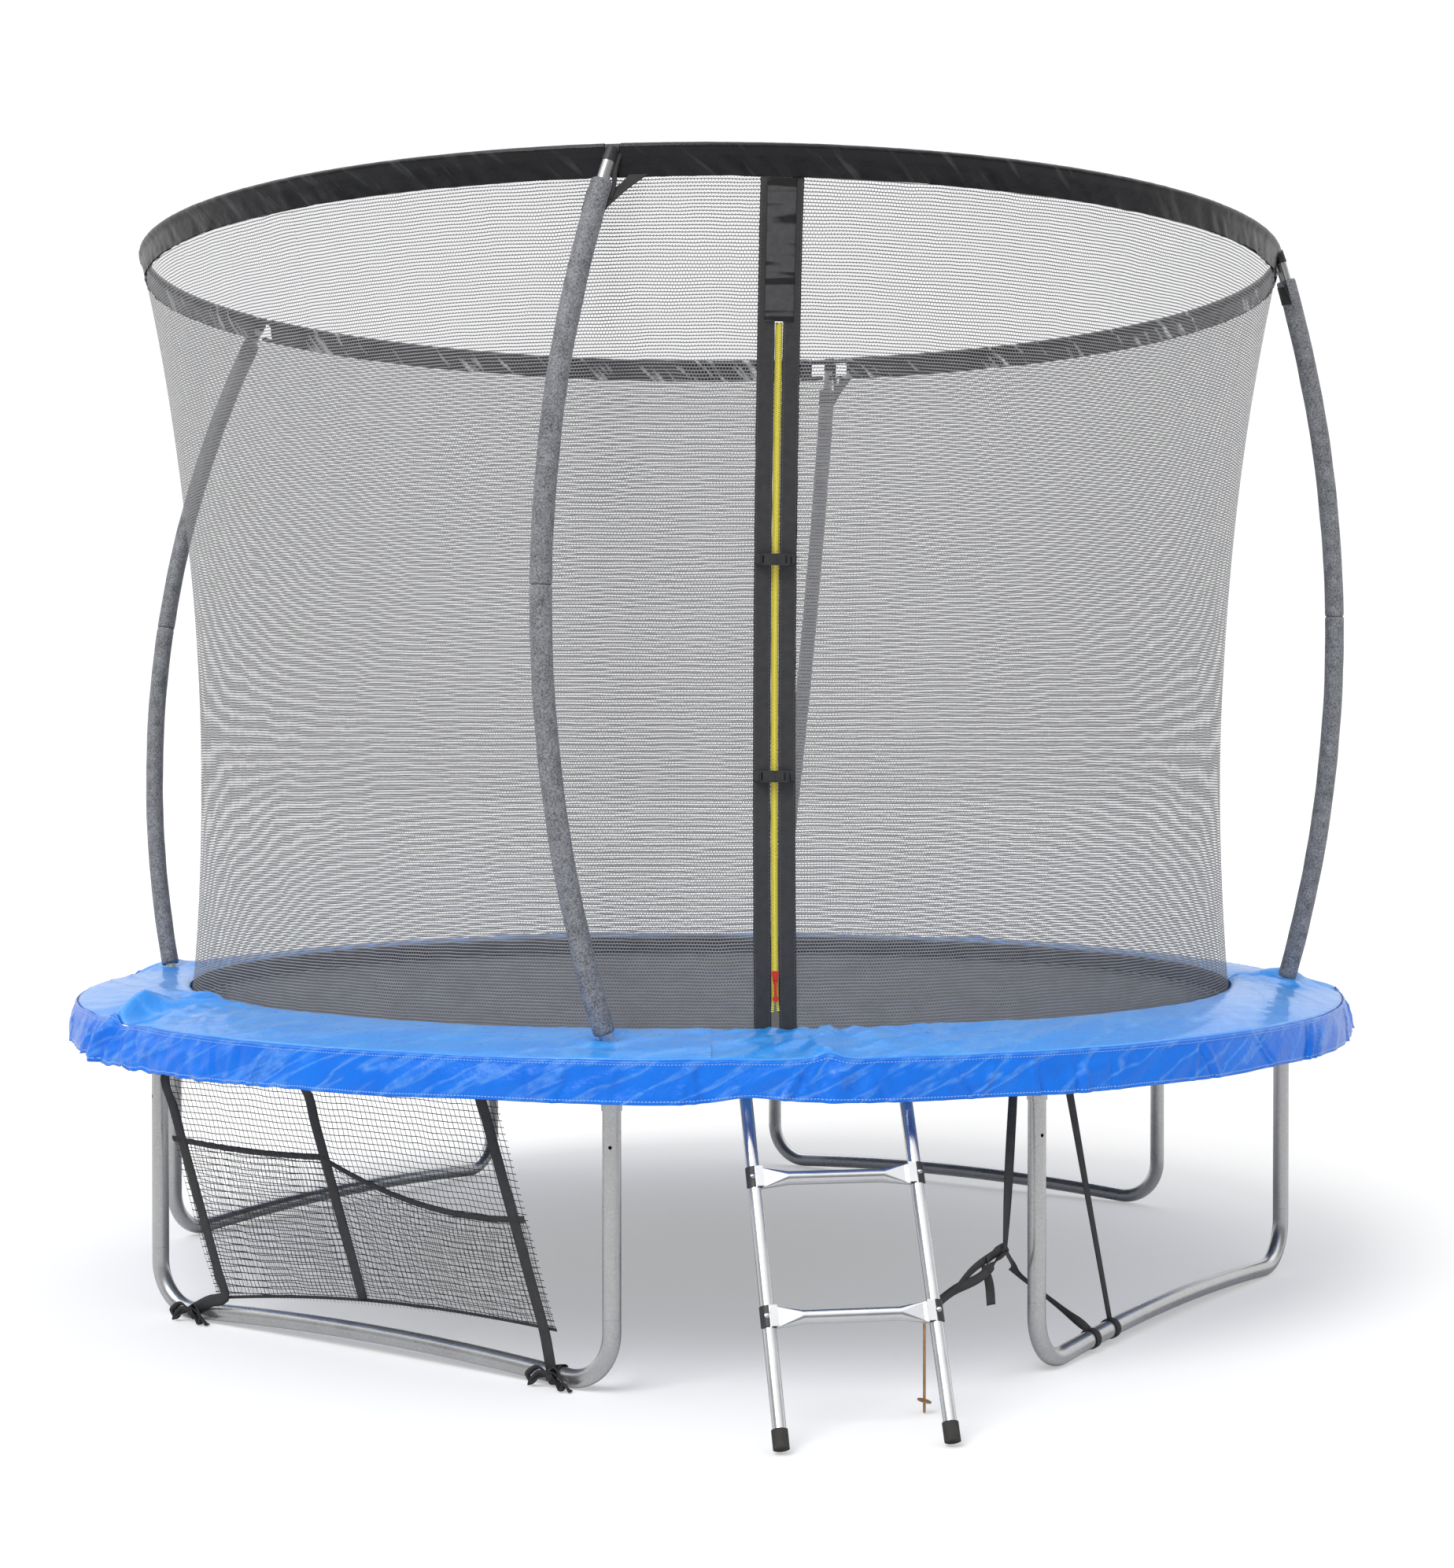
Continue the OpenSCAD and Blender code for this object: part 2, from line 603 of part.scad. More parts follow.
module mat_rings() color(steel) for (k = [0 : spring_count - 1]) at(spring_at(k))
  translate([0, 0, vring_z]) linear_extrude(vring_t) polygon(
    points = [[-20, -vring_in], [20, -vring_in], [6, -vring_out - 2], [-6, -vring_out - 2],
      [-14, -vring_in - 4], [14, -vring_in - 4], [4, -vring_out + 2], [-4, -vring_out + 2]],
    paths = [[0, 1, 2, 3], [4, 5, 6, 7]]);

module spring() {
  body_0 = vring_out + eye_r + wire_d / 2;
  body_1 = rail_in - 7;
  translate([0, -vring_out, spring_z]) rotate([0, 90, 0]) rotate_extrude()
    translate([eye_r, 0]) circle(d = wire_d);
  translate([0, -body_0 + 1, spring_z]) rotate([90, 0, 0]) rotate_extrude()
    polygon([[0, 0], [wire_d / 2, 0], [spring_d / 2, 10], [spring_d / 2, body_1 - body_0 - 10],
      [wire_d / 2, body_1 - body_0], [0, body_1 - body_0]]);
  translate([0, -body_1 + 2, spring_z]) rotate([90, 0, 0]) cylinder(d = wire_d, h = rail_in - body_1 + 6);
  translate([0, -rail_in - 4, spring_z - 9]) cylinder(d = wire_d, h = 9 + wire_d / 2);
}

module springs() color(steel) for (k = [0 : spring_count - 1]) at(spring_at(k)) spring();

// --- pad ---
// The cushion's section: raised inner lip, crowned top, thin outer crease
function pad_top(r) = let (u = (r - pad_in) / (pad_r - pad_in))
  pad_bottom + pad_lip + (pad_edge - pad_lip) * u + pad_crown * 4 * u * (1 - u);

module safety_pad() color(blue) difference() {
  sweep(0, 360) polygon(concat(
    [[pad_in, pad_bottom]],
    [for (a = [180 : -15 : 90]) [pad_in + 9 + 9 * cos(a), pad_top(pad_in + 9) - 9 + 9 * sin(a)]],
    [for (k = [1 : 12]) let (r = pad_in + 9 + (pad_r - pad_in - 13) * k / 12) [r, pad_top(r)]],
    [[pad_r, pad_bottom + pad_edge - 4], [pad_r, pad_bottom]]));
  for (i = [0 : 3]) translate(arc_pt(i, -half_arc(i) + arc_deg(i, 16)) - [0, 0, pad_bottom])
    cylinder(d = slot_d, h = 2 * pad_bottom);
  // Channels where the cover's sections are sewn together
  for (k = [0 : 5]) at(14.5 + 60 * k) translate([0, -seam_at, pad_bottom + pad_lip + pad_crown + 3])
    rotate([90 - 7.5, 0, 0]) cylinder(r = 9, h = seam_len, center = true);
}

// Radius of the skirt's inner face at a share u of its drop. It clears the pad between its corners
function skirt_r(az, u) = pad_r + skirt_gap + skirt_flare * u * (1.6 - 0.6 * u) + fold * u * folds(az);

module pad_skirt() color(blue) {
  steps = 120;
  rows = 4;
  // Outer cloth from the top down, then inner cloth from the hem up
  pts = [for (k = [0 : steps - 1], j = [0 : 2 * rows - 1])
    let (row = j < rows ? j : 2 * rows - 1 - j)
    polar(skirt_r(360 * k / steps, row / (rows - 1)) + (j < rows ? skirt_t : 0), 360 * k / steps,
      skirt_top - skirt_h * row / (rows - 1))];
  n = 2 * rows;
  tris = [for (k = [0 : steps - 1], j = [0 : n - 1])
    let (a = k * n + j, b = k * n + (j + 1) % n,
      c = (k + 1) % steps * n + (j + 1) % n, d = (k + 1) % steps * n + j)
    each [[a, b, c], [a, c, d]]];
  polyhedron(points = pts, faces = tris);
}

// --- ladder ---
module ladder_frame() at(ladder_az) translate([0, -hinge_r, rail_z])
  rotate([-ladder_lean, 0, 0]) children();

module ladder_stiles() color(steel) ladder_frame() for (s = [-1, 1])
  translate([s * stile_gap / 2, 0, 0]) {
    // Flattened end, bent over the frame tube as a hook
    rotate([0, 0, -90]) rotate([90, 0, 0]) rotate([0, 0, -95])
      rotate_extrude(angle = 205, $fn = 72)
        translate([hook_in, -hook_w / 2]) square([hook_t, hook_w]);
    hull() {
      translate([0, 0, -stile_top - 0.5]) cube([hook_w, hook_t, 1], center = true);
      translate([0, 0, -neck_stile - 2]) cylinder(d = stile_d, h = 2);
    }
    translate([0, 0, -stile_len + foot_floor]) pipe(stile_d, tube_wall, stile_len - foot_floor - neck_stile);
  }

// A rung tube whose ends are pressed flat and folded against the stiles
module ladder_rungs() color(steel) ladder_frame() for (z = rung_at) translate([0, 0, -z]) {
  inner = stile_gap / 2 - stile_d / 2 - 0.4;
  rotate([0, 90, 0]) cylinder(d = rung_d, h = 2 * inner - 110, center = true);
  for (s = [-1, 1]) {
    hull() {
      translate([s * (inner - 56), 0, 0]) rotate([0, 90, 0]) cylinder(d = rung_d, h = 2, center = true);
      translate([s * (inner - 1), -2, 0]) cube([2, 8, 44], center = true);
    }
    translate([s * (inner + 5) - 6, -stile_d / 2 - 3.4, -22]) cube([12, 3, 44]);
    translate([s * (inner - 1.5) - 1.5, -stile_d / 2 - 3.4, -22]) cube([3, 16, 44]);
  }
}

module rung_saddles() color("#26272a") ladder_frame() for (z = rung_at, s = [-1, 1])
  translate([s * stile_gap / 2, 0, -z]) difference() {
    intersection() {
      translate([0, 0, -24]) cylinder(d = stile_d + 6.6, h = 48);
      translate([s * 6, -stile_d / 2, 0]) cube([30, 22, 44], center = true);
    }
    translate([0, 0, -30]) cylinder(d = stile_d + 0.6, h = 60);
    translate([-s * 12, -stile_d / 2, 0]) cube([24, 30, 60], center = true);
    rotate([90, 0, 0]) cylinder(d = 6.6, h = 40);
  }

module ladder_feet() color(dark) ladder_frame() for (s = [-1, 1])
  translate([s * stile_gap / 2, 0, -stile_len]) difference() {
    cylinder(d = foot_d, h = foot_h);
    translate([0, 0, foot_floor - fit_gap]) cylinder(d = stile_d + 2 * fit_gap, h = foot_h);
  }

module ladder_bolts() color(steel) ladder_frame() for (z = rung_at, s = [-1, 1])
  translate([s * (stile_gap / 2 + 5), -stile_d / 2 - 3.6, -z]) rotate([90, 0, 0])
    intersection() {
      translate([0, 0, -6]) sphere(d = 16);
      cylinder(d = 12, h = 4);
    }

// --- shoe organiser ---
module org_plane() leg_plane(0) translate([0, -org_out, org_z]) rotate([90 + org_tilt, 0, 0]) children();

function slant_x(u, y) = (u - 0.5) * org_w + org_slant * (y / org_h - 0.5) - 20;

// A slanted strip between two heights at a share u of the width
module slanted(u, y0, y1, w) {
  polygon([[slant_x(u, y0) - w / 2, y0], [slant_x(u, y0) + w / 2, y0],
    [slant_x(u, y1) + w / 2, y1], [slant_x(u, y1) - w / 2, y1]]);
}

module mesh2d(height, rows) {
  for (k = [0 : mesh_x]) slanted(k / mesh_x, 0, height, cord_w);
  for (j = [0 : rows]) {
    y = j * (height - cord_w) / rows;
    polygon([[slant_x(0, y), y], [slant_x(1, y), y],
      [slant_x(1, y + cord_w), y + cord_w], [slant_x(0, y + cord_w), y + cord_w]]);
  }
}

module organiser_net() color(dark) org_plane() linear_extrude(2) mesh2d(org_h, mesh_y);

module organiser_pocket() color(dark) org_plane() translate([0, 0, 2.3])
  linear_extrude(2) mesh2d(pocket_h, mesh_y - 2);

module tie_loop(x) translate([x, 0, arch_z(x)]) rotate([0, 90, 0]) translate([0, 0, -web_w / 2])
  pipe(leg_d + 5.4, 1.6, web_w);

module organiser_straps() color(dark) {
  for (k = [0 : 2]) {
    u = 0.5 + strap_x[k];
    x_top = slant_x(u, org_h);
    x_hang = x_top - 20;
    loop_az = leg_mid(0) + asin(x_hang / frame_r);
    org_plane() translate([0, 0, 4.6]) linear_extrude(web_t) slanted(u, 0, org_h + 6, web_w);
    at(loop_az) sweep(-0.6, 0.6) translate([frame_r, rail_z]) ring2d(rail_d + 4, rail_d + 2 * fit_gap);
    hull() {
      org_plane() translate([x_top - web_w / 2 - 1, org_h + 1, 4.3]) cube([web_w + 0.6, 7, web_t + 0.6]);
      at(loop_az) translate([0, -frame_r, rail_z - rail_d / 2 - 1])
        cube([web_w, web_t, 1.2], center = true);
    }
  }
  for (k = [0, 1]) {
    leg_plane(0) tie_loop(tie_x[k]);
    hull() {
      org_plane() translate([slant_x(0.5 + strap_x[2 * k], 0) - web_w / 2 - 0.3, -1, 4.3])
        cube([web_w + 0.6, 5, web_t + 0.6]);
      leg_plane(0) translate([tie_x[k], -leg_d / 2 - 1.9, arch_z(tie_x[k])])
        cube([web_w - 3, 1, 12], center = true);
    }
  }
}

// --- anchor kit ---
module strap(p, q, w0, w1, turn) hull() {
  translate(p) rotate([0, 0, turn]) cube([w0, web_t, 3], center = true);
  translate(q) rotate([0, 0, turn]) cube([w1, web_t, 3], center = true);
}

module rail_loop(az) at(az) sweep(-0.35, 0.35) translate([frame_r, rail_z])
  ring2d(rail_d + 4, rail_d + 2 * fit_gap);

function leg_pt(i, x, z) = polar(chord_in, leg_mid(i), z)
  + [x * cos(leg_mid(i)), x * sin(leg_mid(i)), 0];

module anchor_straps() color(dark) {
  eye = [peg_xy.x, peg_xy.y, peg_h];
  grip = eye + [eye_rad * 0.8, 0, eye_rad * 0.6];
  near_az = pole_az(1) - leg_span - 2.5;
  far_az = pole_az(1) - leg_span + 2.5;
  rail_loop(near_az);
  rail_loop(far_az);
  strap(polar(frame_r, near_az, rail_z - rail_d / 2 - 1.6), junction, 17, 22, 20);
  strap(junction, grip + [5, 6, 6], 22, 12, 20);
  strap(junction, round_post, 20, 20, 60);
  strap(round_post, leg_pt(1, tie_local[0], arch_z(tie_local[0]) + leg_d / 2 + 2), 20, 20, 60);
  strap(polar(frame_r, far_az, rail_z - rail_d / 2 - 1.6),
    leg_pt(1, tie_local[1], arch_z(tie_local[1]) + leg_d / 2 + 2), 17, 20, 60);
  tail = junction + (grip - junction) * 0.28;
  strap(tail, tail + [14, 2, -78], 18, 20, 30);
  for (x = tie_local) leg_plane(1) tie_loop(x);
  translate(grip) rotate([0, -37, 0]) translate([0, 0, -5]) pipe(12, 1.8, 10);
}

// A ground peg bent from rod, with an eye on top and a turned disc near its foot
module anchor_peg() color("#b8763a") translate([peg_xy.x, peg_xy.y, 0]) {
  translate([0, 0, peg_h]) rotate([90, 0, 0]) rotate([0, 0, -90]) rotate_extrude(angle = 335, $fn = 64)
    translate([eye_rad, 0]) circle(d = peg_d);
  translate([0, 0, 4]) cylinder(d = peg_d, h = peg_h - eye_rad - 4);
  translate([0, 0, 0.5]) cylinder(d1 = 1.6, d2 = peg_d, h = 4);
  translate([0, 0, 26]) rotate([0, 14, 0]) cylinder(d = 30, h = 2.4, center = true);
}

top_rails_long();
top_rails_short();
t_joints();
leg_base(0);  // leg_base_1
leg_base(1);  // leg_base_2
leg_base(2);  // leg_base_3
leg_base(3);  // leg_base_4
leg_uprights(0);  // leg_uprights_1
leg_uprights(1);  // leg_uprights_2
leg_uprights(2);  // leg_uprights_3
leg_uprights(3);  // leg_uprights_4
socket_screws();
pole_lower(0);  // pole_lower_1
pole_lower(1);  // pole_lower_2
pole_lower(2);  // pole_lower_3
pole_lower(3);  // pole_lower_4
pole_upper(0);  // pole_upper_1
pole_upper(1);  // pole_upper_2
pole_upper(2);  // pole_upper_3
pole_upper(3);  // pole_upper_4
foam_sleeves(0);  // foam_sleeves_1
foam_sleeves(1);  // foam_sleeves_2
foam_sleeves(2);  // foam_sleeves_3
foam_sleeves(3);  // foam_sleeves_4
pole_caps();
ring_rods();
ring_sleeve();
corner_straps();
net_panel(1);  // net_panel_1
net_panel(2);  // net_panel_2
net_panel(3);  // net_panel_3
net_panel(4);  // net_panel_4
net_panel(5);  // net_panel_5
net_panel(6);  // net_panel_6
net_panel(7);  // net_panel_7
net_panel(8);  // net_panel_8
net_hem();
door_placket();
door_flap();
zip_chain();
zip_slider();
zip_pull();
buckle_sockets();
buckle_plug(buckle_z[0]);  // lower_plug
buckle_plug(buckle_z[1]);  // upper_plug
jumping_mat();
mat_rings();
springs();
safety_pad();
pad_skirt();
ladder_stiles();
ladder_rungs();
rung_saddles();
ladder_feet();
ladder_bolts();
organiser_net();
organiser_pocket();
organiser_straps();
anchor_straps();
anchor_peg();
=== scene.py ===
import random
from math import asin, atan2, cos, degrees, exp, hypot, pi, radians, sin, sqrt

import bmesh
import bpy
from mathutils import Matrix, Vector, noise


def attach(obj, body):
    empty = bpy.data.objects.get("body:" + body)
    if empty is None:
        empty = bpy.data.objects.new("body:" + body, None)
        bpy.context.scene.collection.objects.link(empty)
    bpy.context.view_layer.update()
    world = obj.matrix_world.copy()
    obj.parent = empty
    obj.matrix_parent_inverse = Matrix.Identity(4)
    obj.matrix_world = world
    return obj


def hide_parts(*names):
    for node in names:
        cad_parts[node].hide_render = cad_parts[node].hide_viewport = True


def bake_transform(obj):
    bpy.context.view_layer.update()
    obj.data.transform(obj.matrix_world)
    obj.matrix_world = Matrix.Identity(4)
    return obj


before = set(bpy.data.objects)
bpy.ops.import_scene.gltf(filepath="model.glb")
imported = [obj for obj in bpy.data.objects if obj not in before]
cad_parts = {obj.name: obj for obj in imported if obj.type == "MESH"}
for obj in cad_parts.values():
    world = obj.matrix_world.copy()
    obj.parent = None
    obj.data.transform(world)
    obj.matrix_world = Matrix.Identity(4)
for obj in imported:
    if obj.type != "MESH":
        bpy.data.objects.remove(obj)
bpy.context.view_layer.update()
scene = bpy.context.scene

# --- camera, floor and light ---
# The camera stands in front of the door at head height, a little above the middle.
# The floor is pale, and one soft sun and an even sky light the whole object.
camera = bpy.data.objects.new("camera", bpy.data.cameras.new("camera"))
scene.collection.objects.link(camera)
camera.location = (0, -6.78, 1.359)
camera.rotation_euler = (radians(90 - 0.785), 0, radians(-0.358))
camera.data.sensor_width = 36
camera.data.lens = 3202 * 36 / 1993
scene.camera = camera
scene.view_settings.view_transform = "Standard"


class Shade:
    """A value in a material, which arithmetic turns into maths nodes."""

    def __init__(self, finish, socket):
        self.finish, self.socket = finish, socket

    def maths(self, operation, *values):
        return self.finish.node(
            "ShaderNodeMath", {"operation": operation}, dict(enumerate(values))
        )

    def __add__(self, other):
        return self.maths("ADD", self, other)

    def __sub__(self, other):
        return self.maths("SUBTRACT", self, other)

    def __rsub__(self, other):
        return self.maths("SUBTRACT", other, self)

    def __mul__(self, other):
        return self.maths("MULTIPLY", self, other)

    def __truediv__(self, other):
        return self.maths("DIVIDE", self, other)

    def __gt__(self, other):
        return self.maths("GREATER_THAN", self, other)

    def __lt__(self, other):
        return self.maths("LESS_THAN", self, other)

    __radd__ = __add__
    __rmul__ = __mul__

    def part(self):
        return self.maths("FRACT", self)

    def size(self):
        return self.maths("ABSOLUTE", self)

    def either(self, other):
        return self.maths("MAXIMUM", self, other)


class Finish:
    """One material: its nodes are made here, and the Principled shader is fed by name."""

    def __init__(self, name, colour=(0.5, 0.5, 0.5), **sockets):
        self.material = bpy.data.materials.new(name)
        self.material.use_nodes = True
        self.tree = self.material.node_tree
        self.shader = self.tree.nodes["Principled BSDF"]
        self.shader.inputs["Base Color"].default_value = (*colour, 1)
        for socket, value in sockets.items():
            self.feed(self.shader.inputs[socket.replace("_", " ").title()], value)

    def feed(self, socket, value):
        if isinstance(value, Shade):
            self.tree.links.new(value.socket, socket)
        else:
            socket.default_value = value

    def node(self, kind, settings, sockets, out=0):
        made = self.tree.nodes.new(kind)
        for name, value in settings.items():
            if name == "stops":
                for stop, (position, colour) in zip(made.color_ramp.elements, value):
                    stop.position, stop.color = position, (*colour, 1)
            else:
                setattr(made, name, value)
        for key, value in sockets.items():
            self.feed(made.inputs[key], value)
        return Shade(self, made.outputs[out])

    def place(self, kind="Object", scale=(1, 1, 1)):
        where = self.node("ShaderNodeTexCoord", {}, {}, kind)
        return self.node("ShaderNodeMapping", {}, {"Vector": where, "Scale": scale})

    def axis(self, where, name):
        return self.node("ShaderNodeSeparateXYZ", {}, {0: where}, name)

    def grain(self, where, scale, detail=3, roughness=0.5):
        return self.node(
            "ShaderNodeTexNoise",
            {},
            {"Vector": where, "Scale": scale, "Detail": detail, "Roughness": roughness},
        )

    def flat(self):
        """Metres along and across a piece of cloth."""
        cloth = self.place("UV")
        return self.axis(cloth, "X"), self.axis(cloth, "Y")

    def ramp(self, factor, *stops):
        return self.node("ShaderNodeValToRGB", {"stops": stops}, {0: factor})

    def colours(self, factor, first, second):
        first, second = [c if isinstance(c, Shade) else (*c, 1) for c in (first, second)]
        mix = {"data_type": "RGBA"}
        return self.node("ShaderNodeMix", mix, {0: factor, 6: first, 7: second}, 2)

    def set(self, socket, value):
        self.feed(self.shader.inputs[socket], value)

    def tint(self, factor, first, second):
        self.set("Base Color", self.colours(factor, first, second))

    def mottle(self, grain, dark, light, *rough):
        """Grain between two colours. rough: the least roughness, and how much the grain adds."""
        tone = self.grain(self.place(), *grain)
        self.tint(tone, dark, light)
        if rough:
            self.set("Roughness", rough[0] + tone * rough[1])
        return tone

    def bump(self, height, distance, strength=1.0):
        made = {"Height": height, "Distance": distance, "Strength": strength}
        self.set("Normal", self.node("ShaderNodeBump", {}, made))


# The ground: one wide pale sheet, which the camera sees a little brighter than it is lit
ground = bmesh.new()
bmesh.ops.create_grid(ground, x_segments=1, y_segments=1, size=60)
floor = bpy.data.objects.new("floor", bpy.data.meshes.new("floor"))
ground.to_mesh(floor.data)
ground.free()
scene.collection.objects.link(floor)
pale = Finish("pale_floor", (0.83, 0.83, 0.83), roughness=1.0)
pale.set("Specular IOR Level", 0.0)
pale.set("Emission Color", (1, 1, 1, 1))
pale.set("Emission Strength", pale.node("ShaderNodeLightPath", {}, {}, "Is Camera Ray") * 0.34)
floor.data.materials.append(pale.material)
floor.location.z = -0.002

# The sky lights with SKY_LEVEL, and the eye sees SKY_SEEN behind the object
SKY_LEVEL, SKY_SEEN = 0.68, 1.08
sky = bpy.data.worlds.new("sky")
scene.world = sky
sky.use_nodes = True


def sky_node(kind, values=(), **settings):
    """A node of the sky whose inputs are numbers or other nodes' outputs."""
    made = sky.node_tree.nodes.new(f"ShaderNode{kind}")
    for name, value in settings.items():
        setattr(made, name, value)
    for socket, value in zip(made.inputs, values):
        if isinstance(value, (int, float)):
            socket.default_value = value
        else:
            sky.node_tree.links.new(value, socket)
    return made.outputs


# Reflections see a studio: a white backdrop behind, a soft box overhead and a dim room in front
direction = sky_node("TexCoord")["Generated"]
depth, height = list(sky_node("SeparateXYZ", [direction]))[1:]
smooth = {"interpolation_type": "SMOOTHSTEP"}
backdrop = sky_node("MapRange", [depth, -0.35, 0.5, 0.26, 0.95], **smooth)[0]
soft_box = sky_node("MapRange", [height, 0.42, 0.85, 0.0, 1.1], **smooth)[0]
studio = sky_node("Math", [backdrop, soft_box], operation="ADD")[0]
extra = sky_node("Math", [studio, SKY_LEVEL], operation="SUBTRACT")[0]
rays = sky_node("LightPath")
mirrored = sky_node("Math", [extra, rays["Is Glossy Ray"]], operation="MULTIPLY")[0]
both = [rays["Is Camera Ray"], rays["Is Transmission Ray"]]
seen = sky_node("Math", both, operation="MAXIMUM")[0]
level = sky_node("MapRange", [seen, 0.0, 1.0, SKY_LEVEL, SKY_SEEN])[0]
strength = sky_node("Math", [level, mirrored], operation="ADD")[0]
sky_light = sky.node_tree.nodes["Background"].inputs
sky.node_tree.links.new(strength, sky_light["Strength"])
sky_light["Color"].default_value = (1, 1, 1, 1)

sun = bpy.data.objects.new("sun", bpy.data.lights.new("sun", "SUN"))
scene.collection.objects.link(sun)
sun.data.energy = 1.35
sun.data.angle = radians(32)
sun.rotation_euler = (radians(38), radians(-16), radians(-14))

# --- galvanised tubes ---
# Frame, T joints, legs, poles and screws are zinc-coated steel tube.
# The zinc is dull silver with faint spangle and grey weathered clouds.


def dress(finish, *nodes):
    """Gives CAD nodes their finish."""
    for node in nodes:
        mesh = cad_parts[node].data
        mesh.materials.clear()
        mesh.materials.append(finish.material)


galvanised = Finish("galvanised_tube", metallic=0.85, roughness=0.4)
spot = galvanised.place()
clouds = galvanised.grain(spot, 9, 4, 0.6)
spangle = galvanised.node(
    "ShaderNodeTexVoronoi", {}, {"Vector": spot, "Scale": 190}, "Distance"
)
weathered = galvanised.colours(clouds, (0.40, 0.39, 0.37), (0.66, 0.665, 0.67))
galvanised.tint(spangle * 0.5, weathered, (0.72, 0.73, 0.75))
galvanised.set("Roughness", 0.15 + clouds * 0.30)
galvanised.bump(clouds * 0.5 + spangle * 0.12, 0.0012, 0.5)

legs = [f"leg_base_{k}" for k in range(1, 5)] + [f"leg_uprights_{k}" for k in range(1, 5)]
poles = [f"pole_lower_{k}" for k in range(1, 5)] + [f"pole_upper_{k}" for k in range(1, 5)]
rails = ["top_rails_long", "top_rails_short", "t_joints", "socket_screws"]
dress(galvanised, *legs, *poles, *rails)

# --- pole foam ---
# Two closed-cell foam tubes are pushed over each bowed pole and butt at its middle.
# They are soft, with rounded cut ends, and their grey skin is mottled.
FRAME_R, RAIL_Z, RING_R, RING_Z, KINK_Z = 1.505, 0.690, 1.485, 2.621, 0.7149
POLE_AZ = [-8, 82, 172, 262]
TIP_AZ = [-8, 75, 165, 243]
BOW_AZ = [-58, 85, 172, 262]
BOW = [0.170, 0.140, 0.140, 0.165]
FOAM_R, FOAM_BORE, FOAM_START = 0.0235, 0.0146, 0.052
FOAM_END = [0.076, 0.076, 0.118, 0.076]
UP = Vector((0, 0, 1))


def polar(radius, azimuth, z):
    a = radians(azimuth)
    return Vector((radius * sin(a), -radius * cos(a), z))


def ripple(x, y, z):
    """Smooth noise between -1 and 1, the same on every run."""
    return noise.noise(Vector((x, y, z)))


def bell(off, width):
    """1 in the middle of a hill, falling off to both sides."""
    return exp(-((off / width) ** 2))


def angles(first, past, step):
    """Degrees from first up to past, in radians."""
    return [radians(d) for d in range(first, past, step)]


class Bow:
    """The arc of one enclosure pole, from the frame to the top ring."""

    def __init__(self, k):
        self.foot = polar(FRAME_R, POLE_AZ[k], KINK_Z)
        chord = polar(RING_R, TIP_AZ[k], RING_Z) - self.foot
        self.half, self.along = chord.length / 2, chord.normalized()
        out = polar(1, BOW_AZ[k], 0)
        self.out = (out - self.along * out.dot(self.along)).normalized()
        self.side = self.out.cross(self.along)
        self.radius = (self.half**2 + BOW[k] ** 2) / (2 * BOW[k])
        self.sweep = asin(self.half / self.radius)
        self.length = 2 * self.sweep * self.radius
        self.rise = BOW[k]

    def point(self, travelled, radius=0.0, turn=0.0):
        a = travelled / self.radius - self.sweep
        middle = self.out * (self.radius * (cos(a) - 1) + self.rise)
        middle += self.along * (self.half + self.radius * sin(a))
        spoke = self.out * cos(a) + self.along * sin(a)
        return self.foot + middle + spoke * radius * cos(turn) + self.side * radius * sin(turn)


def shaped_grid(across, along, place, size=(1, 1)):
    """A sheet of quads whose corner at shares u and v goes to place(u, v). Its UV map is in metres."""
    shape = bmesh.new()
    bmesh.ops.create_grid(shape, x_segments=across, y_segments=along, size=0.5)
    cut = shape.loops.layers.uv.new("UVMap")
    for face in shape.faces:
        for loop in face.loops:
            at = loop.vert.co
            loop[cut].uv = ((at.x + 0.5) * size[0], (at.y + 0.5) * size[1])
    for vert in shape.verts:
        vert.co = place(vert.co.x + 0.5, vert.co.y + 0.5)
    return shape


def make(name, shape, finish, body="frame", stands_for=(), closed=False, thick=0):
    """Turns a bmesh into a piece that rides on a body."""
    if closed:
        bmesh.ops.remove_doubles(shape, verts=shape.verts, dist=1e-5)
        bmesh.ops.recalc_face_normals(shape, faces=shape.faces)
    for face in shape.faces:
        face.smooth = True
    mesh = bpy.data.meshes.new(name)
    shape.to_mesh(mesh)
    shape.free()
    made = bpy.data.objects.new(name, mesh)
    scene.collection.objects.link(made)
    mesh.materials.append(finish.material)
    if thick:
        wall = made.modifiers.new("thickness", "SOLIDIFY")
        wall.thickness, wall.offset = thick, 0
    if body:
        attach(made, body)
    if stands_for:
        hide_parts(*stands_for)
    return made


def merge(shapes):
    """Puts several bmeshes into one."""
    whole = shapes[0]
    for other in shapes[1:]:
        mesh = bpy.data.meshes.new("part")
        other.to_mesh(mesh)
        other.free()
        whole.from_mesh(mesh)
        bpy.data.meshes.remove(mesh)
    return whole


foam = Finish("grey_foam", roughness=0.48)
spot = foam.place()
cells = foam.grain(spot, 260, 3, 0.7)
blotch = foam.grain(spot, 34, 3, 0.6)
skin = cells * 0.75 + blotch * 0.25
foam.set("Base Color", foam.ramp(skin, (0.36, (0.055, 0.058, 0.064)), (0.64, (0.36, 0.37, 0.40))))
foam.bump(cells * 0.7 + blotch, 0.0016, 0.6)

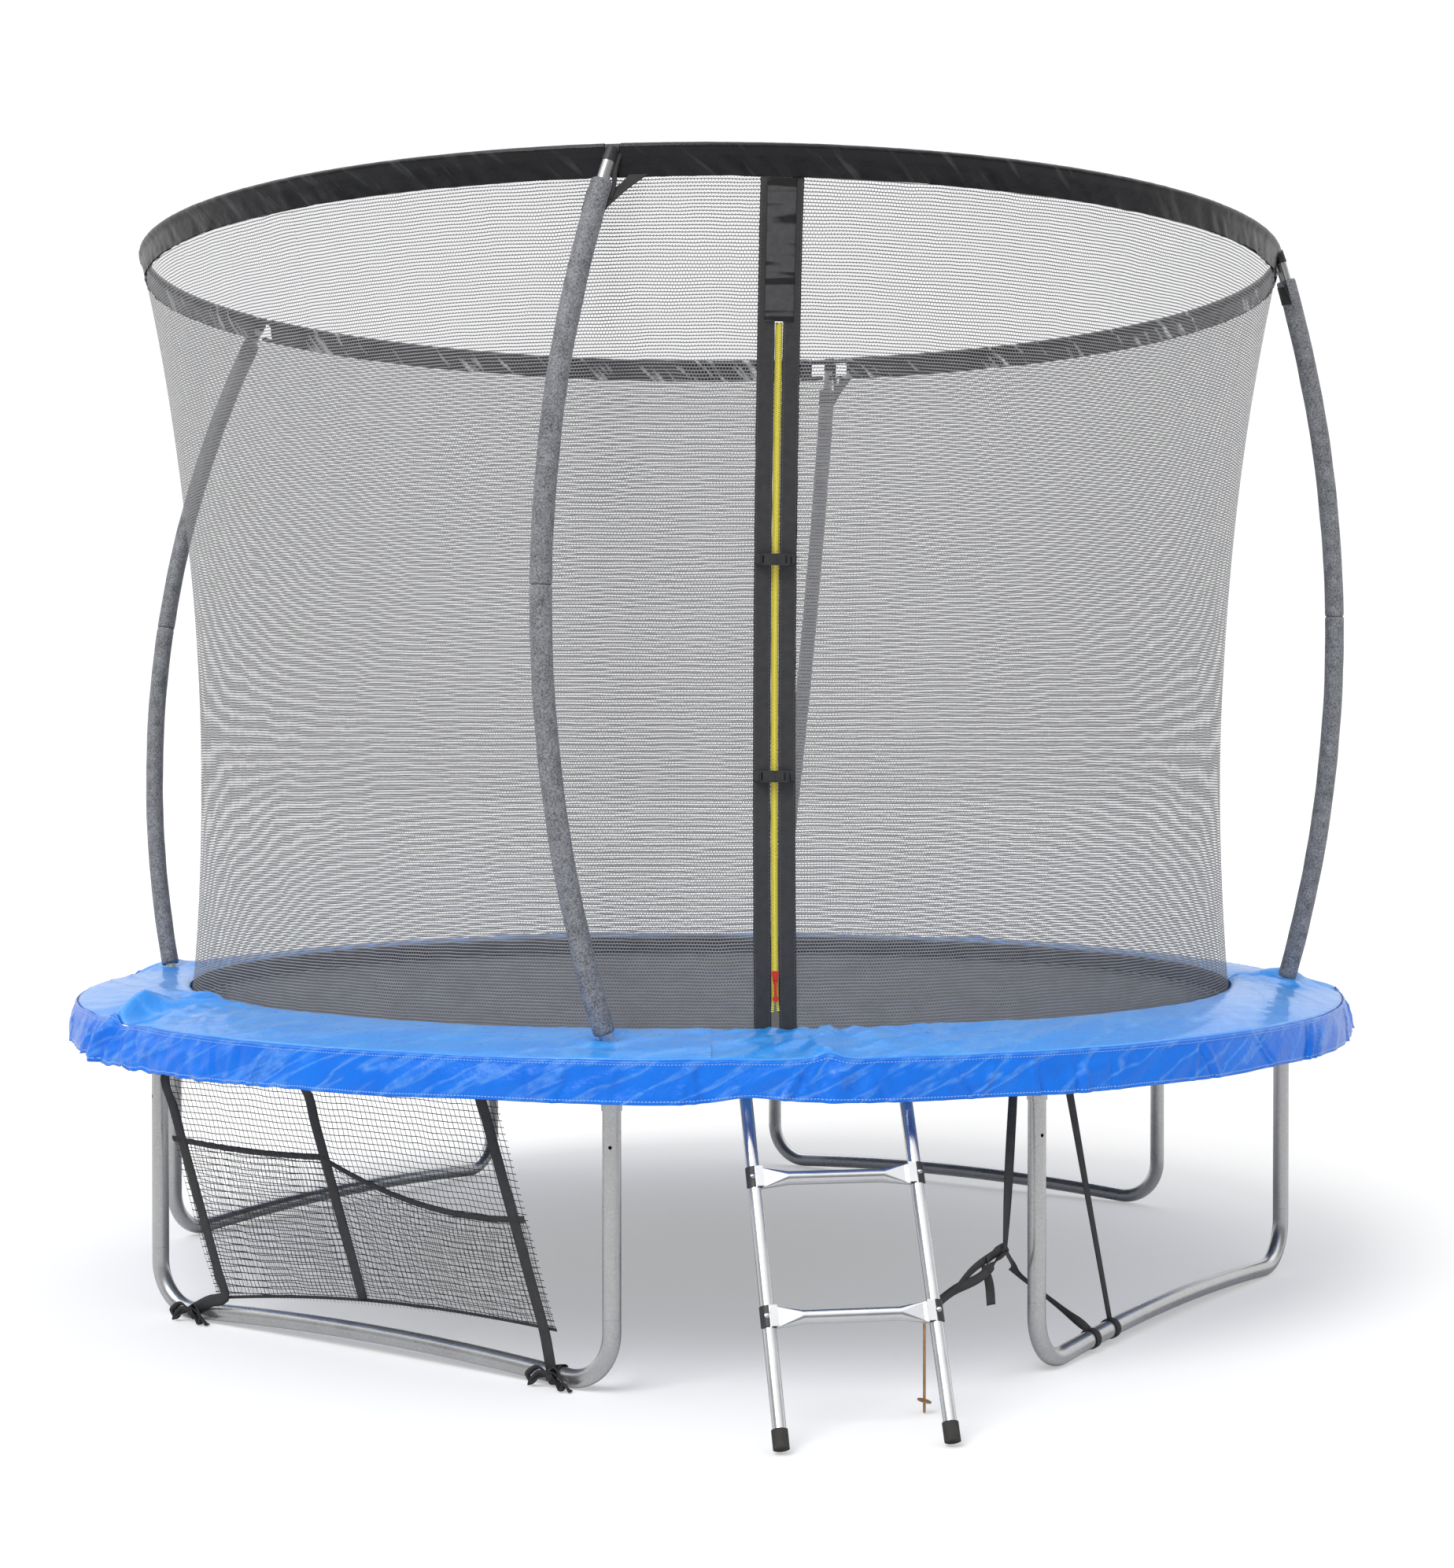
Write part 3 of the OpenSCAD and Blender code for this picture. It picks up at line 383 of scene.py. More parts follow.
for k in range(4):
    bow = Bow(k)
    joint = bow.length / 2 + 0.030
    tubes = []
    for low, high in ((FOAM_START, joint - 0.0004), (joint + 0.0004, bow.length - FOAM_END[k])):
        line = [(low, FOAM_BORE), (low, FOAM_R - 0.003), (low + 0.0015, FOAM_R - 0.001)]
        line += [(low + 0.006 + (high - low - 0.012) * n / 60, FOAM_R) for n in range(61)]
        line += [(high - 0.0015, FOAM_R - 0.001), (high, FOAM_R - 0.003), (high, FOAM_BORE)]
        line += [(high + (low - high) * n / 30, FOAM_BORE) for n in range(1, 31)]

        def foam_wall(u, v, line=line, bow=bow):
            travelled, radius = line[round(v * (len(line) - 1))]
            turn = 2 * pi * u
            if radius > FOAM_BORE:
                lump = ripple(travelled * 14, cos(turn) * 0.8, sin(turn) * 0.8)
                radius += 0.0011 * lump
            return bow.point(travelled, radius, turn)

        tubes.append(shaped_grid(28, len(line) - 1, foam_wall, (0.15, high - low)))
    sleeve = make(
        f"foam_tubes_{k + 1}", merge(tubes), foam,
        stands_for=[f"foam_sleeves_{k + 1}"], closed=True,
    )

# --- pole caps ---
# Black moulded caps close the pole tips, and each carries a clip round the black ring rod.
plastic = Finish("black_moulded_plastic", (0.018, 0.018, 0.02), roughness=0.42)
plastic.mottle((70, 4, 0.6), (0.012, 0.012, 0.014), (0.045, 0.046, 0.05), 0.32, 0.3)
plastic.bump(plastic.grain(plastic.place(), 900, 2), 0.0003, 0.35)
dress(plastic, "pole_caps", "ring_rods", "rung_saddles", "buckle_sockets", "lower_plug", "upper_plug")

# --- safety net ---
# Eight panels of black knitted polyester are sewn side by side into an hourglass.
# Close ribs run round it, with fine loops between them, and light passes through.
NET_FOOT, NET_TOP, DOOR_AZ = 0.754, 2.562, 5.8


def net_radius(z):
    return 7.614 - sqrt(6.27**2 - (z - 1.27) ** 2)


net = Finish("knitted_net", roughness=0.8)
u, v = net.flat()
drift = net.grain(net.place("Object"), 5, 3, 0.6)
shift = drift * 0.012
ribs = ((v + shift) / 0.0071).part() < 0.36
loops = ((u + shift * 0.5 + ((v / 0.0142).part() > 0.5) * 0.0035) / 0.0068).part() < 0.20
patchy = net.grain(net.place("Object", (1, 1, 2.5)), 14, 4, 0.6)
cover = ribs.either(loops)
net.set("Alpha", cover * (0.75 + patchy * 0.46) + 0.02)
net.tint(patchy, (0.20, 0.20, 0.21), (0.36, 0.36, 0.37))
net.bump(ribs + loops, 0.0008, 0.4)

door_gap = degrees(asin(0.0082 / 1.344))
for k in range(8):
    start = DOOR_AZ + 45 * k + (door_gap if k == 0 else 0)
    end = DOOR_AZ + 45 * (k + 1) - (door_gap if k == 7 else 0)

    def net_cloth(u, v, start=start, end=end):
        z = NET_FOOT + (NET_TOP - NET_FOOT) * v
        azimuth = start + (end - start) * u
        pull = ripple(azimuth * 0.12, z * 1.7, 3) * 0.003
        seam = -0.003 * bell(min(u, 1 - u), 0.02) * sin(pi * v)
        held = sin(pi * v) ** 0.5
        return polar(net_radius(z) + pull * held + seam, azimuth, z)

    panel = make(
        f"net_cloth_{k + 1}", shaped_grid(36, 64, net_cloth, (1.07, 1.82)), net,
        stands_for=[f"net_panel_{k + 1}"],
    )

# --- ring sleeve ---
# A sleeve of glossy black coated cloth wraps the ring rod, and the net hangs from its
# band. It is stitched shut below the rod, and the stitching draws it into slanting puckers.
coated = Finish("black_coated_cloth", (0.012, 0.012, 0.014), roughness=0.28)
spot = coated.place()
dust = coated.grain(spot, 26, 4, 0.65)
u, v = coated.flat()
# Light grey streaks along the slanting puckers are painted highlights, stronger on the ring's far half.
painted_pucker_highlights = coated.node("ShaderNodeCombineXYZ", {}, {0: u * 34 + v * 30, 1: v * 9})
painted_pucker_highlights = coated.grain(painted_pucker_highlights, 1.0, 2) - coated.grain(spot, 3.2, 2) * 0.35
highlight_far_side = (coated.axis(spot, "Y") > 0) * 0.85 + 0.04
painted_pucker_highlights = ((painted_pucker_highlights - 0.40) * 9).either(0.0) * highlight_far_side
plain = coated.colours(dust, (0.004, 0.004, 0.005), (0.018, 0.0185, 0.022))
coated.tint(painted_pucker_highlights, plain, (0.62, 0.63, 0.66))
coated.set("Roughness", 0.2 + dust * 0.22)
coated.set("Specular IOR Level", 0.3)
coated.bump(coated.grain(spot, 240, 3) + dust * 2, 0.0012, 0.45)

BAND_R = net_radius(NET_TOP) - RING_R
WRAP_R = 0.0112


def sleeve_line(v):
    """Offset from the ring's radius, and height from its rod."""
    points = [(BAND_R + 0.0018, -0.059), (0.0036, -0.014)]
    points += [(WRAP_R * cos(a), WRAP_R * sin(a)) for a in angles(-60, 241, 30)]
    points += [(-0.0036, -0.014), (BAND_R - 0.0018, -0.059)]
    at = v * (len(points) - 1)
    # The flat sides take more rows than the wrap
    first = min(int(at), len(points) - 2)
    share = at - first
    a, b = points[first], points[first + 1]
    return a[0] + (b[0] - a[0]) * share, a[1] + (b[1] - a[1]) * share


WINDOW = [0.017, 0.017, 0.058, 0.043]
HEM_STRIP, POLE_HOLE = 0.012, 0.0195
SLEEVE_ROWS = [n / 14 / 8 for n in range(8)] + [1 / 14 + n / 14 for n in range(13)]
SLEEVE_ROWS += [13 / 14 + n / 14 / 8 for n in range(1, 9)]

for k in range(4):
    after = (k + 1) % 4
    start, end = TIP_AZ[k], TIP_AZ[after] + (360 if k == 3 else 0)
    run = radians(end - start) * RING_R
    inner = int((run - WINDOW[k] - WINDOW[after]) / 0.011)
    cols = [WINDOW[k] * n / 6 for n in range(6)]
    cols += [WINDOW[k] + (run - WINDOW[k] - WINDOW[after]) * n / inner for n in range(inner)]
    cols += [run - WINDOW[after] * (6 - n) / 6 for n in range(7)]

    def sleeve_cloth(u, v, start=start, end=end, run=run, cols=cols):
        v = SLEEVE_ROWS[round(v * (len(SLEEVE_ROWS) - 1))]
        along = cols[round(u * (len(cols) - 1))]
        off, drop = sleeve_line(v)
        way = along + k * 3
        low = max(0.0, min(1.0, -drop / 0.05))
        slant = way * 26 + drop * 21
        pucker = ripple(slant, drop * 9 + (5 if v > 0.5 else 0), 1.0)
        fine = ripple(slant * 2.6, drop * 30, 7.0)
        ridge = max(0.0, 1 - 3 * abs(ripple(slant * 1.3, drop * 16, 3.0))) ** 2
        swell = 0.0032 * pucker * (0.3 + low) + 0.0013 * fine + 0.0022 * ridge * low
        out = -1 if v > 0.5 and low > 0.2 else 1
        sag = 0.0022 * ripple(way * 7, 2.2, 0) * low
        azimuth = start + (end - start) * along / run
        return polar(RING_R + off + swell * out, azimuth, RING_Z + drop + sag)

    cover = shaped_grid(len(cols) - 1, len(SLEEVE_ROWS) - 1, sleeve_cloth, (run, 0.17))
    gone = []
    for face in cover.faces:
        middle = face.calc_center_median()
        azimuth = degrees(atan2(middle.x, -middle.y))
        for tip in (k, after):
            bow = Bow(tip)
            off_tip = radians((azimuth - TIP_AZ[tip] + 180) % 360 - 180) * RING_R
            pole = bow.point(bow.length - 0.04)
            beside = (middle - pole - bow.along * (middle - pole).dot(bow.along)).length < POLE_HOLE
            wrap = middle.z > RING_Z - 0.016
            open_band = tip > 1 and middle.z > NET_TOP + HEM_STRIP
            if abs(off_tip) < WINDOW[tip] and (wrap or open_band or beside):
                gone.append(face)
                break
    bmesh.ops.delete(cover, geom=gone, context="FACES")
    cuff = make(
        f"top_sleeve_{k + 1}", cover, coated,
        stands_for=["ring_sleeve"] if k == 0 else (),
    )

# --- webbing ---
# Black polyester webbing makes the net's hem, the door's edges, every strap and tab.
# It is a tight herringbone weave with a raised edge.
webbing = Finish("black_webbing", roughness=0.75)
u, v = webbing.flat()
weave = ((u / 0.0021 + ((v / 0.0042).part() - 0.5).size() * 2).part() - 0.5).size()
fuzz = webbing.grain(webbing.place(), 60, 3)
webbing.tint(weave * 0.9 + fuzz * 0.5, (0.012, 0.012, 0.013), (0.07, 0.07, 0.074))
webbing.bump(weave, 0.0007, 0.7)


def smooth_path(points, steps):
    """Points evenly spread along a smooth curve through the given ones."""
    pts = [Vector(p) for p in points]
    pts = [pts[0] * 2 - pts[1], *pts, pts[-1] * 2 - pts[-2]]
    line = []
    for n in range(steps + 1):
        at = n / steps * (len(pts) - 3)
        k = min(int(at), len(pts) - 4)
        t = at - k
        a, b, c, d = pts[k : k + 4]
        line.append(
            (b * 2 + (c - a) * t + (a * 2 - b * 5 + c * 4 - d) * t**2 + (b * 3 - a - c * 3 + d) * t**3) / 2
        )
    return line


def ribbon(points, width, sides, steps=24, across=3, roll=0.0006):
    """A strip of webbing along a path. sides gives the direction of its width at each point."""
    line = smooth_path(points, steps)
    edge = smooth_path(sides, steps)
    lengths = [0.0]
    for a, b in zip(line, line[1:]):
        lengths.append(lengths[-1] + (b - a).length)

    def cloth(u, v):
        n = round(v * steps)
        ahead = line[min(n + 1, steps)] - line[max(n - 1, 0)]
        side = edge[n] - ahead * (edge[n].dot(ahead) / max(ahead.length_squared, 1e-12))
        side.normalize()
        wide = width[0] + (width[1] - width[0]) * v if isinstance(width, tuple) else width
        curl = side.cross(ahead.normalized()) * roll * (1 - (2 * u - 1) ** 2)
        return line[n] + side * (u - 0.5) * wide + curl

    wide = max(width) if isinstance(width, tuple) else width
    return shaped_grid(across, steps, cloth, (wide, lengths[-1]))


HEM_LOW = 0.704


def hem_cloth(u, v):
    azimuth = 360 * u
    z = HEM_LOW + (NET_FOOT - HEM_LOW) * v
    gather = ripple(azimuth * 0.9, z * 14, 2.0) * 0.0012
    return polar(net_radius(z) + gather, azimuth, z)


hem = Finish("stitched_hem", roughness=0.8)
u, v = hem.flat()
rib = ((u / 0.0024).part() - 0.5).size()
dash = (u / 0.007).part() < 0.6
rows = ((v - 0.044).size() < 0.0012).either((v - 0.006).size() < 0.0012)
stitch = dash * rows
fade = hem.grain(hem.place(), 22, 3)
weft = hem.colours(rib + fade * 0.4, (0.03, 0.03, 0.032), (0.095, 0.095, 0.1))
hem.tint(stitch * 0.8, weft, (0.3, 0.3, 0.31))
hem.bump(rib * 0.6 + stitch, 0.0008, 0.6)
band = make(
    "hem_band", shaped_grid(540, 6, hem_cloth, (8.56, 0.05)), hem,
    stands_for=["net_hem"], thick=0.0022,
)

# --- door ---
# Webbing stiffens both edges of the door. A pleated cloth flap covers the top of the zip,
# and two buckles bridge it on folded webbing tabs.
ZIP_LOW, ZIP_HIGH, ZIP_HALF = 0.790, 2.266, 0.0078


def on_net(across, out, z):
    """A point on the door: across its middle line, out from the net, at a height."""
    radius = net_radius(z)
    lean = asin((z - 1.27) / 6.27)
    out_at = polar(1, DOOR_AZ, 0)
    right = polar(1, DOOR_AZ + 90, 0)
    normal = out_at * cos(lean) - UP * sin(lean)
    bulge = sqrt(max(radius**2 - across**2, 0)) - radius
    return out_at * (radius + bulge) + UP * z + right * across + normal * out


for side, word in ((-1, "left"), (1, "right")):

    def edge_cloth(u, v, side=side):
        z = NET_FOOT - 0.036 * (1 - v) + (NET_TOP - NET_FOOT) * v
        ruck = ripple(z * 21, side * 4, u) * 0.0012
        return on_net(side * (0.0086 + 0.0374 * u) + ruck * 0.6, 0.0019 + ruck, z)

    edging = make(
        f"door_edge_{word}", shaped_grid(6, 150, edge_cloth, (0.0374, 1.83)), webbing,
        stands_for=["door_placket"] if side < 0 else (), thick=0.0016,
    )

rows_of_stitches = []
for side in (-1, 1):
    for across in (0.0125, 0.0425):
        for n in range(226):
            z = 0.745 + n * 0.008

            def thread(u, v, x=side * across, z=z):
                return on_net(x + (u - 0.5) * 0.0012, 0.0031 + 0.0004 * sin(pi * v), z + 0.0052 * v)

            rows_of_stitches.append(shaped_grid(1, 2, thread, (0.001, 0.005)))
sewing = Finish("grey_thread", (0.09, 0.09, 0.095), roughness=0.7)
fibre = sewing.grain(sewing.place("UV", (900, 300, 1)), 3, 2)
sewing.tint(fibre, (0.05, 0.05, 0.055), (0.16, 0.16, 0.17))
make("door_stitching", merge(rows_of_stitches), sewing)


def flap_cloth(u, v):
    z = 2.268 + (NET_TOP - 2.268) * v
    across = 0.031 * (2 * u - 1)
    pleat = ripple(z * 42 + u * 1.6, u * 1.7, 5.0)
    crease = max(0.0, ripple(z * 23 + u * 0.8, 3.0, 1.0)) ** 0.6
    free = sin(pi * u) ** 0.5 * min(1.0, (1 - v) * 12)
    return on_net(across, 0.0040 + (0.0046 * abs(pleat) + 0.0075 * crease) * free, z)


crinkled = Finish("black_crinkled_cloth", roughness=0.5)
spot = crinkled.place()
crush = crinkled.grain(spot, 70, 5, 0.7)
# Near-black bands along the pleats are painted shade in their folds.
painted_pleat_shade = crinkled.grain(crinkled.place("Object", (3, 3, 44)), 1.0, 1)
painted_pleat_shade = ((painted_pleat_shade - 0.54) * 18).either(0.0)
lit = crinkled.colours(crush, (0.03, 0.03, 0.033), (0.1, 0.1, 0.108))
crinkled.tint(painted_pleat_shade, lit, (0.002, 0.002, 0.002))
crinkled.set("Roughness", 0.35 + crush * 0.3)
crinkled.bump(crush, 0.004, 0.5)
flap = make(
    "door_flap_cloth", shaped_grid(16, 110, flap_cloth, (0.062, 0.294)), crinkled,
    stands_for=["door_flap"], thick=0.0008,
)

# The zip: woven tapes with a row of moulded teeth on each
tape = Finish("yellow_zip_tape", roughness=0.6)
cloth = tape.place("UV")
ridge = ((tape.axis(cloth, "Y") / 0.0016).part() - 0.5).size()
tape.tint(ridge, (0.55, 0.44, 0.02), (0.86, 0.78, 0.08))
tape.bump(ridge, 0.0005, 0.6)
teeth = Finish("yellow_zip_teeth", (0.93, 0.83, 0.09), roughness=0.35)
teeth.mottle((120, 2), (0.86, 0.72, 0.05), (0.96, 0.9, 0.16))


def parted(z):
    """Half the gap between the tooth rows, which part below the slider."""
    return max(0.0, (0.862 - z) / 0.075) ** 1.3 * 0.0052


tapes, tooth_rows = [], []
for side in (-1, 1):

    def tape_cloth(u, v, side=side):
        z = ZIP_LOW + (ZIP_HIGH - ZIP_LOW) * v
        return on_net(side * (0.0009 + parted(z) + (ZIP_HALF - 0.001 - parted(z)) * u), 0.0006, z)

    tapes.append(shaped_grid(2, 160, tape_cloth, (0.007, 1.476)))
    for n in range(364):
        z = ZIP_LOW + 0.004 + n * 0.00404 + (0.00202 if side > 0 else 0)

        def tooth(u, v, side=side, z=z):
            ring = [(-1, 0), (-1, 1), (1, 1), (1, 0)][round(u * 3)]
            reach = [0.0048, 0.0044, -0.0011][round(v * 2)]
            lift = 0.0011 + ring[1] * (0.0022 if v < 0.9 else 0.0016)
            return on_net(side * (reach + parted(z)), lift, z + ring[0] * 0.00125)

        tooth_rows.append(shaped_grid(3, 2, tooth, (0.006, 0.006)))
chain = make("zip_tapes", merge(tapes), tape, stands_for=["zip_chain"], thick=0.0007)
make("zip_teeth", merge(tooth_rows), teeth)

enamel = Finish("red_enamel", (0.62, 0.02, 0.015), roughness=0.3)
enamel.mottle((300, 3), (0.5, 0.012, 0.01), (0.78, 0.035, 0.025), 0.22, 0.22)
dress(enamel, "zip_slider", "zip_pull")

# Folded tabs carry the buckles away from the zip. The right ones are made as pieces of their own
TAB_UNDER = [(0.0445, 0.0030), (0.0405, 0.0046), (0.037, 0.0130), (0.031, 0.0142), (0.0262, 0.0143)]
TAB_OVER = [(0.0448, 0.0032), (0.0415, 0.0062), (0.0375, 0.0152), (0.0335, 0.0164)]
tabs = []
for word, z in (("lower", 1.301), ("upper", 1.768)):
    rise = on_net(0, 0, z + 0.01) - on_net(0, 0, z)
    for side in (-1, 1):
        pair = []
        for path, steps in ((TAB_UNDER, 14), (TAB_OVER, 10)):
            line = [on_net(side * x, out, z) for x, out in path]
            pair.append(ribbon(line, 0.0225, [rise] * len(line), steps, 4, 0.0))
        if side < 0:
            tabs += pair
        else:
            name = f"{word}_buckle"
            tab = make(f"{name}_tab", merge(pair), webbing, body=None, thick=0.0012)
            on_net(0.0445, 0.003, z)
            on_net(0.031, 0.003, z)
            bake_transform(tab)
make("buckle_tabs", merge(tabs), webbing, thick=0.0012)

# --- corner straps ---
# At each pole a cloth tab slants from the sleeve's lower edge to the pole and turns round
# the foam's inner side. A narrow strip runs from it up the pole's side to the cap.
# Degrees from the tip along the sleeve, and metres down the pole
TAB_TOP, TAB_DEPTH = (1.35, 2.95), (0.095, 0.140)
# The strip: metres down the pole, and out from its middle
RISER = [(0.118, 0.0275), (0.082, 0.027), (0.060, 0.0215), (0.036, 0.019), (0.010, 0.0185)]

for k in range(4):
    bow = Bow(k)
    side = [1, -1, -1, 1][k]
    beside = polar(side, TIP_AZ[k] + 90, 0)
    beside = (beside - bow.along * beside.dot(bow.along)).normalized()
    inward = bow.along.cross(beside)
    if inward.dot(polar(1, TIP_AZ[k], 0)) > 0:
        inward = -inward

    def tab_cloth(u, v, bow=bow, side=side, k=k, beside=beside, inward=inward):
        tip = TIP_AZ[k] + side * (TAB_TOP[0] + (TAB_TOP[1] - TAB_TOP[0]) * u)
        top = polar(net_radius(NET_TOP) + 0.006, tip, NET_TOP + 0.004)
        heart = bow.point(bow.length - TAB_DEPTH[0] - (TAB_DEPTH[1] - TAB_DEPTH[0]) * u)
        turn = radians(max(0.0, (v - 0.5) / 0.5) * 190)
        low = heart + (beside * cos(turn) + inward * sin(turn)) * (FOAM_R + 0.0018)
        free = min(1.0, v / 0.5)
        sag = 0.004 * sin(pi * free) * cos(pi * u)
        return top.lerp(low, free) - UP * sag

    riser = [bow.point(bow.length - down) + beside * reach for down, reach in RISER]
    strip = ribbon(riser, 0.0105, [beside] * len(riser), 16, 2)
    make(
        f"corner_tab_{k + 1}", merge([shaped_grid(6, 24, tab_cloth, (0.05, 0.15)), strip]),
        webbing, stands_for=["corner_straps"] if k == 0 else (), thick=0.0012,
    )

# --- jumping mat ---
# A disc of tightly woven black polypropylene, turned under a doubled edge band that is
# sewn down with rows of light stitches. Steel V rings are held in the band.
MAT_TOP, MAT_R, MAT_EDGE = 0.7036, 1.3666, 0.050
woven = Finish("woven_mat", roughness=0.62)
spot = woven.place()
x, y = woven.axis(spot, "X"), woven.axis(spot, "Y")
warp = ((x / 0.0032).part() - 0.5).size() + ((y / 0.0032).part() - 0.5).size()
tread = woven.grain(spot, 3.5, 4, 0.6)
woven.tint(warp * 0.6 + tread * 0.4, (0.024, 0.025, 0.026), (0.085, 0.087, 0.09))
woven.bump(warp, 0.0006, 0.5)


def mat_cloth(u, v):
    radius = (MAT_R - MAT_EDGE) * v
    dip = -0.004 * (1 - v * v)
    wave = noise.noise(polar(radius * 2.2, 360 * u, 1.0)) * 0.0012 * (1 - v)
    return polar(radius, 360 * u, MAT_TOP - 0.0012 + dip + wave)


disc = shaped_grid(144, 40, mat_cloth, (8.27, 1.32))
bmesh.ops.remove_doubles(disc, verts=disc.verts, dist=1e-5)
mat = make("mat_cloth", disc, woven, "mat", stands_for=["jumping_mat"], thick=0.0018)

edge_weave = Finish("mat_edge_band", roughness=0.7)
u, v = edge_weave.flat()
dash = (u / 0.009).part() < 0.62
line = ((v - 0.010).size() < 0.0011).either((v - 0.044).size() < 0.0011)
cross = ((u / 0.0026).part() - 0.5).size()
weft = edge_weave.colours(cross, (0.02, 0.02, 0.022), (0.075, 0.075, 0.08))
edge_weave.tint(dash * line, weft, (0.38, 0.38, 0.39))
edge_weave.bump(cross * 0.5 + dash * line, 0.0008, 0.6)


def mat_edge(u, v):
    """The band runs over the top, round the rim and back underneath."""
    line = [(-0.052, -0.0002), (-0.03, 0.0), (-0.012, 0.0), (-0.001, -0.0006), (0.0, -0.0025),
            (-0.001, -0.0042), (-0.012, -0.0046), (-0.03, -0.0046), (-0.05, -0.0046), (-0.052, -0.0025)]
    inward, drop = line[round(v * 9)]
    return polar(MAT_R + inward, 360 * u, MAT_TOP + drop)


rim = make("mat_edge_band", shaped_grid(360, 9, mat_edge, (8.58, 0.11)), edge_weave, "mat")

# --- springs ---
# Sixty close-wound springs stretch the mat. Each has an eye on a V ring and a hook that
# drops into a slot in the frame tube. They are bright zinc.
zinc = Finish("bright_zinc_wire", metallic=1.0, roughness=0.26)
zinc.mottle((60, 3), (0.46, 0.46, 0.47), (0.78, 0.78, 0.8), 0.2, 0.25)
dress(zinc, "mat_rings", "ladder_bolts")
SPRING_Z, HOOK_R, RAIL_IN = 0.6967, 1.3888, 1.486
WIRE = 0.0016


def wire(points, radius, around=6):
    """A round wire along closely spaced points."""
    line = [Vector(p) for p in points]
    side = UP
    frames = []
    for n in range(len(line)):
        ahead = (line[min(n + 1, len(line) - 1)] - line[max(n - 1, 0)]).normalized()
        side = side - ahead * side.dot(ahead)
        side = side.normalized() if side.length > 1e-6 else ahead.orthogonal().normalized()
        frames.append((side.copy(), ahead.cross(side)))

    def skin(u, v):
        n = round(v * (len(line) - 1))
        a, b = frames[n]
        turn = 2 * pi * u
        return line[n] + (a * cos(turn) + b * sin(turn)) * radius

    length = sum((b - a).length for a, b in zip(line, line[1:]))
    shape = shaped_grid(around, len(line) - 1, skin, (2 * pi * radius, length))
    bmesh.ops.remove_doubles(shape, verts=shape.verts, dist=1e-6)
    bmesh.ops.holes_fill(shape, edges=[e for e in shape.edges if e.is_boundary], sides=0)
    return shape


for k in range(60):
    azimuth = 1 + 6 * k
    out, right = polar(1, azimuth, 0), polar(1, azimuth + 90, 0)

    def at(radius, across=0.0, rise=0.0):
        return out * radius + right * across + UP * (SPRING_Z + rise)

    route = [at(HOOK_R + 0.0055 * sin(a), 0, 0.0055 * cos(a)) for a in angles(-250, 91, 34)]
    start, end, turns = HOOK_R + 0.009, RAIL_IN - 0.010, 19
    for n in range(turns * 8 + 1):
        share = n / (turns * 8)
        coil = min(1.0, share * 9, (1 - share) * 9)
        turn = 2 * pi * n / 8
        route.append(at(start + (end - start) * share, 0.0083 * coil * sin(turn), 0.0083 * coil * cos(turn)))
    route += [at(RAIL_IN - 0.004), at(RAIL_IN + 0.001), at(RAIL_IN + 0.0042, 0, -0.001),
              at(RAIL_IN + 0.0055, 0, -0.004), at(RAIL_IN + 0.0052, 0, -0.009)]
    coil = make(f"coil_spring_{k + 1:02d}", wire(route, WIRE, 5), zinc, body=None)
    if k == 0:
        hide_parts("springs")
    at(RAIL_IN - 0.006)
    at(HOOK_R + 0.008)
    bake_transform(coil)

# --- edge pad ---
# A ring of foam in glossy blue coated cloth covers the springs. Its inner lip stands up,
# its outside edge is thin, and the cloth is gathered where its lengths are sewn together.
PAD_IN, PAD_OUT, PAD_LOW, PAD_LIP, PAD_EDGE = 1.3723, 1.650, 0.718, 0.044, 0.008
GATHERS = [(-58, 1.4), (9, 0.55), (84, 0.8), (146, 0.5), (206, 0.5), (258, 0.6)]


def from_gather(azimuth):
    """The nearest gather: degrees past it, and its strength."""
    best = min(GATHERS, key=lambda g: abs((azimuth - g[0] + 180) % 360 - 180))
    return (azimuth - best[0] + 180) % 360 - 180, best[1]


def pad_crumple(azimuth, share):
    """How far the blue cloth stands up at an azimuth and a share of the pad's width."""
    past, strength = from_gather(azimuth)
    way = radians(azimuth) * 1.5
    bend = past + 1.3 * sin(share * 4 + strength * 9) * share
    ridge = strength * 0.024 * bell(bend, 0.85) * (0.35 + share)
    hollow = -strength * 0.006 * bell(bend - 2.1, 1.1)
    near = exp(-abs(past) / 9)
    fan = sin(past * 1.9 * (1.4 - share) + 5 * share + strength * 7) * near * 0.0042 * strength
    fan *= exp(-abs(past) / 5) * 2 + 0.4
    slant = ripple(way * 2.3 + share * 1.9, share * 1.1 - way * 0.25, 4.0)
    crease = 1 - abs(ripple(way * 5.2 + share * 3.4, share * 1.6, 9.0)) * 2
    crease = max(0.0, crease) ** 5 * 0.0034 * (0.35 + near)
    fine = ripple(way * 16 - share * 6, share * 7, 2.0) * 0.0009
    return ridge + hollow + fan * 1.3 + slant * 0.0045 + crease * 1.7 + fine * 1.5


